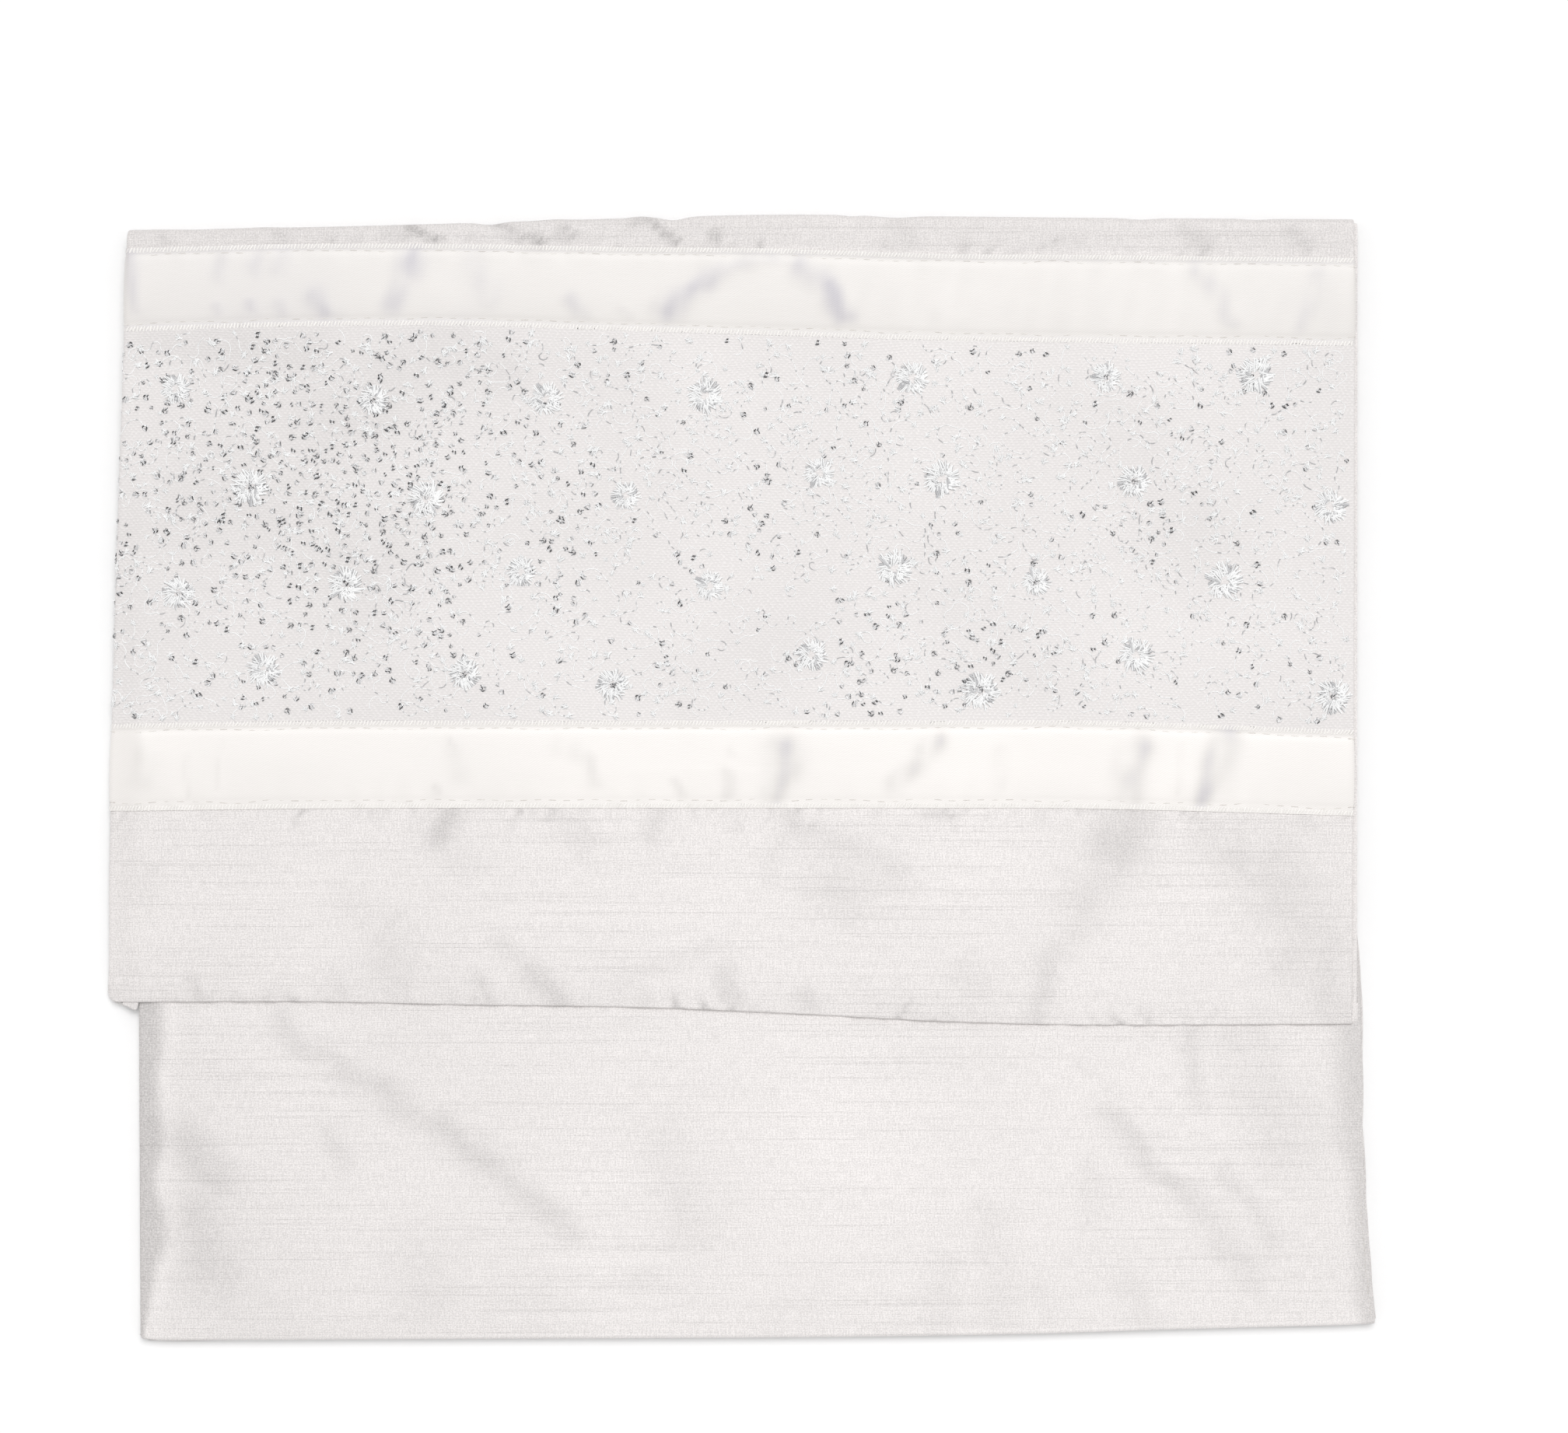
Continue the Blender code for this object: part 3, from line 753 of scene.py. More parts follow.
FLAP_CREASES = Creases((
    (-93.5, -11, -96.5, -18.1, 3.4, 0.32, 0.15), (-97.8, -18, -88, -27, 4.5, 0.18, 0.034),
    (-118.6, -10.6, -117.6, -12, 1.3, 0.14, 0.081), (-58, -11, -49.5, -20, 4, 0.22, 0.052),
    (-27, -10, -29, -18.5, 2.8, 0.25, 0.081), (-2, -10.5, -0.8, -16, 2, 0.18, 0.046),
    (14.8, -11.5, 16.5, -16, 3.4, 0.32, 0.092), (18, -16, 36, -21.5, 3.2, 0.28, 0.069),
    (36, -21.5, 51, -31, 4.6, 0.25, 0.052), (13, -18, 8.4, -29.5, 3, 0.2, 0.046),
    (28, -33, 36, -37, 7.5, 0.15, 0.05), (42, -11, 43.6, -12, 1.3, 0.12, 0.057),
    (58.8, -10.8, 67.4, -11.4, 1.5, 0.18, 0.103), (96, -11, 97, -14, 1.6, 0.12, 0.046),
    (124, -12, 120.5, -22, 7.4, 0.42, 0.14), (120.5, -22, 109, -40, 7.4, 0.38, 0.07),
    (113, -40, 100.6, -55, 3.8, 0.32, 0.057), (100.6, -55, 94.2, -76, 3, 0.34, 0.081),
    (130.5, -10.6, 132.5, -13, 1.4, 0.15, 0.103), (145.6, -11.4, 148, -15, 2.6, 0.24, 0.069),
    (150, -18, 168, -33, 6, 0.34, 0.06), (169, -29, 173, -38, 8.5, 0.2, 0.075),
    (173, -36, 186, -52, 9.0, 0.34, 0.065), (176, -58, 187, -54, 7.0, 0.2, 0.065),
    (180, -46, 189, -72, 6, 0.3, 0.063), (179, -11.5, 182, -15, 1.8, 0.14, 0.057),
    (-190, -30, -190, -40, 3.2, 0.12, 0.034), (-78, -53, -68, -61, 2.4, 0.26, 0.069),
    (-68, -61, -59, -71.5, 3, 0.34, 0.127), (-38.8, -64.2, -6.6, -54, 2.8, 0.16, 0.034),
    (-6, -62, -3, -71.5, 3, 0.3, 0.098), (19.5, -69.5, 22.5, -73.5, 2.4, 0.24, 0.092),
    (70.5, -60, 75, -66, 3.6, 0.2, 0.04), (-126.7, -35.3, -112, -54, 5.5, 0.22, 0.034),
    (-114, -50, -112, -58, 6.5, 0.2, 0.055), (-177.5, -63.5, -175, -69.5, 1.4, 0.2, 0.081),
    (-132, -64, -128.4, -69, 1.5, 0.2, 0.069), (-108.5, -66, -108, -71, 1.4, 0.18, 0.057),
    (-85, -64, -80.8, -70.5, 1.7, 0.22, 0.092), (-32, -69, -30.6, -72.5, 1.7, 0.16, 0.057),
    (-146.5, -68, -144.5, -71, 1.3, 0.14, 0.046), (0, -72, 2.5, -74.5, 1.3, 0.14, 0.057),
    (118.8, -74, 120, -78, 1.5, 0.14, 0.046), (56, -73, 57.5, -76.5, 1.3, 0.12, 0.034),
    (-107.5, 176.6, -97.5, 172.3, 1.1, 0.24, 0.260), (-114, 175, -108, 175, 1.6, 0.12, 0.074),
    (-79.1, 176.8, -67.4, 174.2, 1.1, 0.22, 0.165), (-66.6, 173.8, -64.6, 171.4, 1.5, 0.26, 0.300),
    (-57.4, 176.8, -52.4, 172.6, 1, 0.22, 0.165), (-59.8, 175.2, -55.2, 171.8, 0.8, 0.15, 0.105),
    (-29, 178.2, -21.5, 172, 1.3, 0.28, 0.273), (-36, 178.6, -31, 178, 1.2, 0.14, 0.120),
    (-8.8, 175.4, -7.6, 173, 1.3, 0.22, 0.194), (46, 171.4, 46.6, 170.4, 1.1, 0.12, 0.090),
    (50, 177, 54, 172.5, 2.2, 0.16, 0.074), (71, 172, 72, 170.4, 1.4, 0.12, 0.074),
    (84.6, 168.9, 98, 171.6, 0.5, 0.12, 0.134), (98, 171.6, 110, 173.6, 0.5, 0.12, 0.120),
    (142, 176, 150, 170.5, 1.6, 0.18, 0.120), (176, 175, 181, 171, 1.4, 0.18, 0.105),
    (-187, 173.4, -185.5, 171.8, 1.2, 0.12, 0.090), (-149, 174.4, -146.6, 172.6, 1.2, 0.12, 0.090),
    (-132.5, 173.6, -131.5, 172.4, 1, 0.12, 0.090),
), widen=1.3, deepen=1.25, waver=0.8 * MM)

NET_CREASES = Creases((
    (-130.0, 116.0, -96.0, 138.0, 16.0, 0.22, 0.035), (-176.0, 92.0, -120.0, 70.0, 20.0, 0.24, 0.03),
    (-40.0, 128.0, -20.0, 96.0, 16.0, 0.22, 0.02), (60.0, 62.0, 96.0, 36.0, 15.0, 0.24, 0.03),
    (120.0, 118.0, 150.0, 74.0, 16.0, 0.22, 0.02), (-20.0, 30.0, 30.0, 48.0, 14.0, 0.20, 0.015),
    (-190.0, 139.0, -75.0, 132.0, 7.0, 0.10, 0.035),
), deepen=1.5, waver=2.5 * MM)

UPPER_RIBBON_CREASES = Creases((
    (-105.9, 167, -106.6, 163, 4.2, 0.16, 0.12), (-107, 163, -112.6, 151, 3.2, 0.16, 0.075),
    (-136.8, 155, -132.6, 149.4, 3.2, 0.14, 0.08), (-166.8, 166.5, -168.5, 162.5, 2.7, 0.08, 0.035),
    (-154, 167.5, -156.5, 163.5, 2.4, 0.08, 0.035), (-147, 167.5, -149, 164.5, 2.4, 0.08, 0.035),
    (-169.8, 151.8, -168.8, 149.4, 1.8, 0.1, 0.05), (-157.9, 152, -157, 149.6, 2.2, 0.1, 0.05),
    (-148.8, 151.6, -147.8, 149.4, 2, 0.1, 0.045), (-86, 166, -80.8, 154, 4.1, 0.1, 0.03),
    (-54.5, 152.6, -52.2, 149, 3, 0.12, 0.065), (-38, 150, -36, 148.4, 2.4, 0.08, 0.03),
    (-24, 149.8, -17.3, 157, 4.1, 0.2, 0.11), (-17.3, 157, -5.6, 162.6, 3.5, 0.18, 0.1),
    (-5.6, 162.6, 8, 167, 2.4, 0.12, 0.04), (8, 167, 19, 164.4, 2, 0.1, 0.03),
    (19.5, 164.2, 26.2, 157.5, 4.1, 0.18, 0.09), (26.2, 157.5, 33, 148.3, 3.9, 0.2, 0.125),
    (-195.6, 166, -194.6, 149.4, 1.8, 0.1, 0.07), (62, 150, 70, 146, 4.1, 0.08, 0.02),
    (148, 163, 156, 147, 4.3, 0.14, 0.055), (184, 161, 180, 145, 3.2, 0.12, 0.05),
    (40, 155, 200, 153, 19, 0.0, 0.012),
), 2.1, deepen=1.8, waver=1.1 * MM, patchy=0.42, patch_size=8 * MM)

LOWER_RIBBON_CREASES = Creases((
    (-191, 6.5, -191, 0, 4.8, 0.12, 0.04), (-178.2, 9, -178, -5, 0.8, 0.06, 0.04),
    (-167.5, 12, -167.5, -4, 0.7, 0.05, 0.025), (-94.6, 12.4, -93.6, 10.6, 1.6, 0.1, 0.05),
    (-93, 9, -90.3, 2.2, 3.6, 0.1, 0.035), (-98.6, -3.2, -98, -4.6, 1.4, 0.1, 0.05),
    (-58, 10.5, -50, 6, 3.6, 0.08, 0.03), (-50.6, 7.6, -47.2, -1, 2.6, 0.12, 0.06),
    (-20, -2, -19, -4.2, 2, 0.1, 0.055), (-3.8, 9.8, -3.4, 8.4, 1.7, 0.08, 0.05),
    (-5.2, 1, -5, -4.8, 2.2, 0.12, 0.085), (13.6, 10.6, 14.6, 4, 5.5, 0.18, 0.1),
    (14, 3.6, 10.2, -5, 3.4, 0.18, 0.11), (63, 12.4, 58, 8.6, 3.6, 0.16, 0.08),
    (57, 6, 49.1, -2.1, 3, 0.14, 0.07), (83.4, 10, 83.2, -2, 2.6, 0.06, 0.025),
    (127, 9, 124.4, -4.4, 5.2, 0.2, 0.1), (155, 12.6, 151.6, 2, 5.5, 0.22, 0.12),
    (151, 2, 147, -5.4, 3.8, 0.2, 0.12), (140.5, 12.5, 139.5, -4, 1.1, 0.05, 0.02),
), 2.2, deepen=1.65, waver=1.0 * MM, patchy=0.42, patch_size=8 * MM)

LOWER_CREASES = Creases((
    (-149.5, -76.4, -142.3, -86.7, 2.5, 0.34, 0.098), (-137.5, -87.9, -118, -98.5, 2.9, 0.42, 0.086),
    (-118, -98.5, -97.9, -110.7, 3.6, 0.5, 0.098), (-97.9, -110.7, -74, -128.6, 3.6, 0.55, 0.115),
    (-74, -128.6, -54.8, -145.4, 3.2, 0.5, 0.103), (-180.6, -114, -167.4, -130, 4.4, 0.45, 0.12),
    (-175.5, -141.8, -170.5, -159, 6.4, 0.4, 0.10), (-132.7, -113, -126.7, -122.6, 2.1, 0.26, 0.063),
    (-102.7, -154, -100, -163, 8.5, 0.2, 0.042), (-72, -164, -64, -168, 8.5, 0.1, 0.03),
    (-24.8, -115.4, -16.4, -141.8, 6.0, 0.22, 0.036), (12, -172, 22, -166, 7.0, 0.1, 0.028),
    (-34, -161, -27, -160, 1.7, 0.1, 0.034), (117.8, -105.9, 126.2, -117.8, 2.7, 0.4, 0.098),
    (126.2, -117.8, 149, -139.4, 2, 0.42, 0.098), (149, -139.4, 163.4, -158.6, 3.8, 0.36, 0.069),
    (108, -91, 119, -99, 1.4, 0.14, 0.04), (153.8, -125, 171.8, -149, 2, 0.3, 0.069),
    (144.2, -81.9, 147.3, -102.3, 2.3, 0.32, 0.086), (160.6, -84.3, 175.3, -116, 8.2, 0.34, 0.062),
    (112, -123.8, 113, -139.4, 3.2, 0.16, 0.036), (79.5, -141.8, 83, -168.6, 5.2, 0.24, 0.046),
    (66.3, -158, 63.9, -173, 4.6, 0.2, 0.046), (125, -164, 129, -174, 3.8, 0.22, 0.052),
    (96, -160, 99, -172, 2.9, 0.16, 0.029),
), widen=1.45, deepen=1.12, waver=1.2 * MM)


@dataclass
class Flap:
    """The decorated end of the shawl, folded round its left side and over the back."""

    name: str = "flap_cloth"
    node: str = "flap_panel"
    thickness: float = 0.42 * MM
    drop: float = 0.0
    creases: Creases = FLAP_CREASES
    left_roll: Roll = Roll(1.15 * MM, 180)
    hem_roll: Roll = Roll(0.5 * MM, 180)
    side_roll: Roll = Roll(0.5 * MM, 75)
    back_degrees: float = 150.0
    turned_under: float = 1.4 * MM
    hem_allowance: float = 6.0 * MM
    droop_start: float = -192.5 * MM
    droop_depth: float = 3.4 * MM
    hem_sink: float = 1.45 * MM
    length: float = 255 * MM
    width: float = 400 * MM
    step: float = 2.3 * MM
    left_columns: int = 9
    right: Rows = PLAN.flap_right
    cloth_start: float = 0.0

    def left_level(self, y: Array) -> Array:
        """The x where the left fold starts to turn."""
        return smooth(PLAN.flap_left, y) + self.left_roll.radius

    def right_level(self, y: Array) -> Array:
        """The x where the right edge starts to turn."""
        return smooth(self.right, y) - self.side_roll.radius

    def hem(self, x: Array) -> Array:
        """The y of the hem's edge."""
        return PLAN.line(Line.HEM, x)

    def hem_level(self, x: Array) -> Array:
        """The y where the hem starts to turn."""
        return self.hem(x) + self.hem_roll.radius

    def back_level(self, x: Array) -> Array:
        """The y where the back fold starts to turn."""
        return PLAN.line(Line.FOLD, x) - BACK_RADIUS

    def droop(self, x: Array, y: Array) -> Array:
        """How far the cloth has sunk past the left side of the stack."""
        left = smooth(PLAN.flap_left, y)
        overhang = smooth(PLAN.lower_left, y) - left
        depth = self.droop_depth * ease(overhang, 3.3 * MM, 10.5 * MM)
        return depth * ease(self.droop_start - x, 0.0, self.droop_start - left)

    def sink(self, x: Array, y: Array) -> Array:
        """How far the cloth has sunk towards the hem."""
        return self.hem_sink * np.exp(-np.maximum(y - self.hem(x), 0.0) / (9 * MM))

    def waves(self, x: Array, y: Array) -> Array:
        """Height of the creases, the puckers along the hem and the ribbons, and the cloth's slow swell."""
        pucker = 0.30 * MM * Ripple(13 * MM, 11)(x) * bell(y - self.hem(x), 7 * MM)
        gather = 0.16 * MM * Ripple(9 * MM, 12)(x) * bell(PLAN.line(Line.LOWER_FRONT, x) - y, 6 * MM)
        gather += 0.16 * MM * Ripple(10 * MM, 13)(x) * bell(PLAN.line(Line.UPPER_BACK, x) - y, 5 * MM)
        swell = 0.14 * MM * Swell(55 * MM, 14)(x, y)
        return self.creases.lift(x, y) + NET_CREASES.lift(x, y) + pucker + gather + swell

    def place(self, u: Array, v: Array) -> Array:
        """Where points of the cloth lie.

        Args:
            u: Cloth coordinates along the ribbons.
            v: Cloth coordinates towards the back.

        Returns:
            The points, with one more axis than u.
        """
        left, right = self.left_level(v), self.right_level(v)
        out, down = self.left_roll.turn(left - u)
        out_right, down_right = self.side_roll.turn(u - right)
        x = np.where(u < left, left - out, np.where(u > right, right + out_right, u))
        hem, back = self.hem_level(x), self.back_level(x)
        out_hem, down_hem = self.hem_roll.turn(hem - v)
        y = np.where(v < hem, hem - out_hem, np.minimum(v, back))
        height = self.waves(x, y) * ease(x, -197 * MM, -183 * MM) - self.sink(x, y)
        height = height * ease(back - y, 0.0, 6 * MM) - self.droop(x, y) - self.drop
        height = height - down - down_right - down_hem
        angle = np.clip((v - back) / BACK_RADIUS, 0.0, math.radians(self.back_degrees))
        radius = BACK_RADIUS + height
        y = np.where(v > back, back + radius * np.sin(angle), y)
        return np.stack([x, y, FLAP_TOP - BACK_RADIUS + radius * np.cos(angle)], axis=-1)

    def laid(self, u: Array, v: Array, height: float | Array) -> tuple[Array, Array]:
        """Points at a height above the cloth, and the outward directions there."""
        nudge = 0.4 * MM
        across = self.place(u + nudge, v) - self.place(u - nudge, v)
        along = self.place(u, v + nudge) - self.place(u, v - nudge)
        outward = unit(np.cross(across, along))
        return self.place(u, v) + outward * np.asarray(height)[..., None], outward

    def tone(self, x: Array, y: Array) -> Array:
        """How light the cloth is painted: painted shade of the creases, the folds' turns, the puckers along
        the hem and the ribbons and the strip behind the upper ribbon, times the room's painted fall-off of
        light.
        """
        front, back = PLAN.line(Line.LOWER_FRONT, x), PLAN.line(Line.UPPER_BACK, x)
        strip = 1.0 - 0.066 * ease(y, back - 1 * MM, back + 1 * MM)
        edge = 1.0 - 0.10 * np.exp(-np.maximum(PLAN.line(Line.FOLD, x) - y, 0.0) / (1.2 * MM))
        small = puckers(x, np.abs(y - self.hem(x)), 4.2 * MM, 101)
        small += 0.8 * puckers(x, np.abs(front - y), 3.4 * MM, 111)
        small += 0.9 * puckers(x, np.abs(y - back), 3.0 * MM, 121)
        shaded = self.creases.tone(x, y) * NET_CREASES.tone(x, y) * strip * edge
        return shaded * painted_room_light(x, y) * (1.0 - small)

    def main_columns(self, left: float, right: float, count: int) -> Array:
        """The main columns between two sides, closer together at the left."""
        near = np.linspace(0, 0.03, self.left_columns)[:-1]
        return left + (right - left) * np.concatenate([near, np.linspace(0.03, 1, count)])

    def across(self, row_v: float, count: int) -> Array:
        """Cloth coordinates u of a row of points, from under the left fold to the right edge."""
        left, right = (float(level(np.array(row_v))) for level in (self.left_level, self.right_level))
        start = left - self.left_roll.length
        turn = np.linspace(start, left, 13)[:-1]
        edge = right + np.linspace(0, self.side_roll.length, 5)[1:]
        main = self.main_columns(left, right, count)
        return np.concatenate([[start - self.turned_under], turn, main, edge])

    def spread(self, rows: Sequence[RowLine], count: int) -> tuple[Array, Array]:
        """Cloth coordinates of a grid whose rows follow lines across the flap.

        Args:
            rows: For each row, a function that gives v for an x.
            count: Number of main columns.

        Returns:
            The u and v of each point.
        """
        all_u = [self.across(float(row(np.array(0.0))), count) for row in rows]
        return np.array(all_u), np.array([row(within(u)) for row, u in zip(rows, all_u)])

    def row(self, share: float, beyond: float, x: Array) -> Array:
        """The v of a row at each x: at a share of the way from hem to back fold, and a length beyond."""
        return self.hem_level(x) * (1 - share) + self.back_level(x) * share + beyond

    def rows(self) -> list[RowLine]:
        """The rows of the flap: turned under at the hem, over the top and round the back fold."""
        near = np.linspace(0, 0.012, 7)[:-1]
        over = np.concatenate([near, np.linspace(0.012, 1, int(self.length / self.step))])
        turn = BACK_RADIUS * math.radians(self.back_degrees)
        places = [(0.0, -self.hem_roll.length - self.hem_allowance)]
        places += [(0.0, -self.hem_roll.length * share) for share in np.linspace(1, 0, 7)[:-1]]
        places += [(share, 0.0) for share in over]
        places += [(1.0, turn * share) for share in np.linspace(0, 1, 12)[1:]]
        return [partial(self.row, *place) for place in places]

    def build(self, material: Material) -> Piece:
        """Builds the flap's cloth."""
        u, v = self.spread(self.rows(), int(self.width / self.step))
        points = self.place(u, v)
        cloth = np.stack([u, v + self.cloth_start], axis=-1)
        tone = self.tone(points[..., 0], points[..., 1])
        piece = cloth_shell(self.name, points, self.thickness, cloth, tone, material)
        return finish_piece(piece, "dupioni_cloth", [self.node])


@dataclass
class FlapUnder(Flap):
    """The flap's under half, which peeks out at the right edge and at the bottom left."""

    name: str = "flap_under_cloth"
    node: str = "flap_under_layer"
    thickness: float = 0.5 * MM
    drop: float = 1.3 * MM
    hem_roll: Roll = Roll(0.3 * MM, 180)
    side_roll: Roll = Roll(0.3 * MM, 75)
    hem_sink: float = 1.34 * MM
    step: float = 4.5 * MM
    left_columns: int = 31
    right: Rows = PLAN.under_right
    cloth_start: float = 0.4

    def hem(self, x: Array) -> Array:
        """The y of the hem's edge."""
        return smooth(PLAN.under_hem, x)

    def waves(self, x: Array, y: Array) -> Array:
        """Height of the puckers along the hem."""
        return 0.10 * MM * Ripple(17 * MM, 21)(x) * bell(y - self.hem(x), 6 * MM)

    def tone(self, x: Array, y: Array) -> Array:
        """How light the cloth is painted: the room's painted fall-off of light, a little raised."""
        return 1.02 * painted_room_light(x, y)

    def across(self, row_v: float, count: int) -> Array:
        """Cloth coordinates u of a row of points, from inside the left fold to the right edge."""
        left, right = (float(level(np.array(row_v))) for level in (self.left_level, self.right_level))
        edge = right + np.linspace(0, self.side_roll.length, 4)[1:]
        return np.concatenate([self.main_columns(left + self.turned_under + 0.1 * MM, right, count), edge])


@dataclass
class FrontPanel:
    """The stretch in front of the flap, which turns under at the front fold and at the left."""

    thickness: float = 0.42 * MM
    creases: Creases = LOWER_CREASES
    front_roll: Roll = Roll(FRONT_RADIUS, 150)
    left_roll: Roll = Roll(LEFT_RADIUS, 100)
    right_roll: Roll = Roll(0.35 * MM, 70)
    slope_width: float = 7.5 * MM
    slope_drop: float = 0.55 * MM
    shown_length: float = 110 * MM
    width: float = 395 * MM
    step: float = 2.2 * MM
    cloth_start: float = 0.9
    # Widths of the painted shade along the left and the right edge, by y.
    left_band: Rows = (
        (-180, 1.2), (-175, 2.2), (-165, 4.2), (-158, 5.4), (-151, 8.4), (-141, 8.6), (-133, 5.8),
        (-127, 5.6), (-119, 7.8), (-108, 7.2), (-96, 6.2), (-88, 7.8), (-74, 8.2),
    )
    right_band: Rows = (
        (-177, 4.0), (-168, 6.0), (-150, 5.2), (-126, 5.0), (-118, 8.0), (-96, 8.4), (-79, 9.0),
    )

    def left_level(self, y: Array) -> Array:
        """The x where the left fold starts to turn."""
        return smooth(PLAN.lower_left, y) + self.left_roll.radius

    def right_level(self, y: Array) -> Array:
        """The x where the right edge starts to turn."""
        return smooth(PLAN.lower_right, y) - self.right_roll.radius

    def from_sides(self, x: Array, y: Array) -> tuple[Array, Array]:
        """Distances from the left and the right edge."""
        left, right = smooth(PLAN.lower_left, y), smooth(PLAN.lower_right, y)
        return np.maximum(x - left, 0.0), np.maximum(right - x, 0.0)

    def relief(self, x: Array, y: Array) -> Array:
        """Height of the creases and of the soft slopes at both sides."""
        clear = ease(PLAN.line(Line.HEM, x) - y, 1.0 * MM, 12.0 * MM)
        clear *= ease(y - smooth(PLAN.lower_front, x), 1.0 * MM, 9.0 * MM)
        left, right = self.from_sides(x, y)
        slope = self.slope_drop * (1 - ease(left, 0.0, self.slope_width))
        slope += 0.5 * self.slope_drop * (1 - ease(right, 0.0, 1.6 * self.slope_width))
        waves = 0.10 * MM * Swell(48 * MM, 31)(x, y) + 0.10 * MM * Ripple(11 * MM, 32)(y) * bell(left, 6 * MM)
        return (self.creases.lift(x, y) + waves) * clear - slope

    def tone(self, x: Array, y: Array) -> Array:
        """How light the cloth is painted: painted shade on the soft slopes at both sides, a faint painted
        sheen beside the left one, the creases' painted shade and the room's painted fall-off of light.
        """
        left, right = self.from_sides(x, y)
        band = smooth(self.left_band, y)
        shade = 0.24 * bell(left, band, 5) - 0.04 * bell(left - band - 2.4 * MM, 2.6 * MM)
        shade += 0.19 * bell(right, smooth(self.right_band, y), 3)
        return self.creases.tone(x, y) * (1.0 - shade) * painted_room_light(x, y)

    def row(self, past: float, share: float, beyond: float) -> tuple[Array, Array, Array]:
        """One row of the panel's grid.

        Args:
            past: Length of cloth round the front fold, 0 or less.
            share: Share of the way from the front fold to the hem.
            beyond: Share of the way from the hem to the back fold.

        Returns:
            The row's points, cloth coordinates and painted light.
        """

        def level(x: Array) -> Array:
            """The y of the row on the level stretch, at each x."""
            front, hem = smooth(PLAN.lower_front, x) + self.front_roll.radius, PLAN.line(Line.HEM, x)
            return front + (hem - front) * share + (PLAN.line(Line.FOLD, x) - BACK_RADIUS - hem) * beyond

        middle = level(np.array(0.0))
        left, right = float(self.left_level(middle)), float(self.right_level(middle))
        u = np.concatenate([
            np.linspace(left - self.left_roll.length, left, 9)[:-1],
            np.linspace(left, left + 10 * MM, 10)[:-1],
            np.linspace(left + 10 * MM, right, int(self.width / self.step)),
            right + np.linspace(0, self.right_roll.length, 4)[1:],
        ])
        out, down = self.left_roll.turn(left - u)
        out_right, down_right = self.right_roll.turn(u - right)
        x = np.where(u < left, left - out, np.where(u > right, right + out_right, u))
        y = level(x)
        angle = -past / self.front_roll.radius
        radius = self.front_roll.radius + self.relief(x, y) - down - down_right
        z = LOWER_TOP - self.front_roll.radius + radius * math.cos(angle)
        points = np.stack([x, y - radius * math.sin(angle), z], axis=-1)
        # Painted light: the turn round the front fold is painted a tenth lighter.
        tone = self.tone(x, y) * (1.10 if past else 1.0)
        return points, np.stack([u, y + past + self.cloth_start], axis=-1), tone

    def build(self, material: Material) -> Piece:
        """Builds the front panel's cloth."""
        rows = [(-float(share) * self.front_roll.length, 0.0, 0.0) for share in np.linspace(1, 0, 11)[:-1]]
        rows += [(0.0, float(share), 0.0) for share in np.linspace(0, 1, int(self.shown_length / self.step))]
        rows += [(0.0, 1.0, float(share)) for share in np.linspace(0, 1, 6)[1:]]
        points, cloth, tone = (np.array(part) for part in zip(*(self.row(*row) for row in rows)))
        piece = cloth_shell("front_panel_cloth", points, self.thickness, cloth, tone, material)
        return finish_piece(piece, "dupioni_cloth", ["lower_panel"])


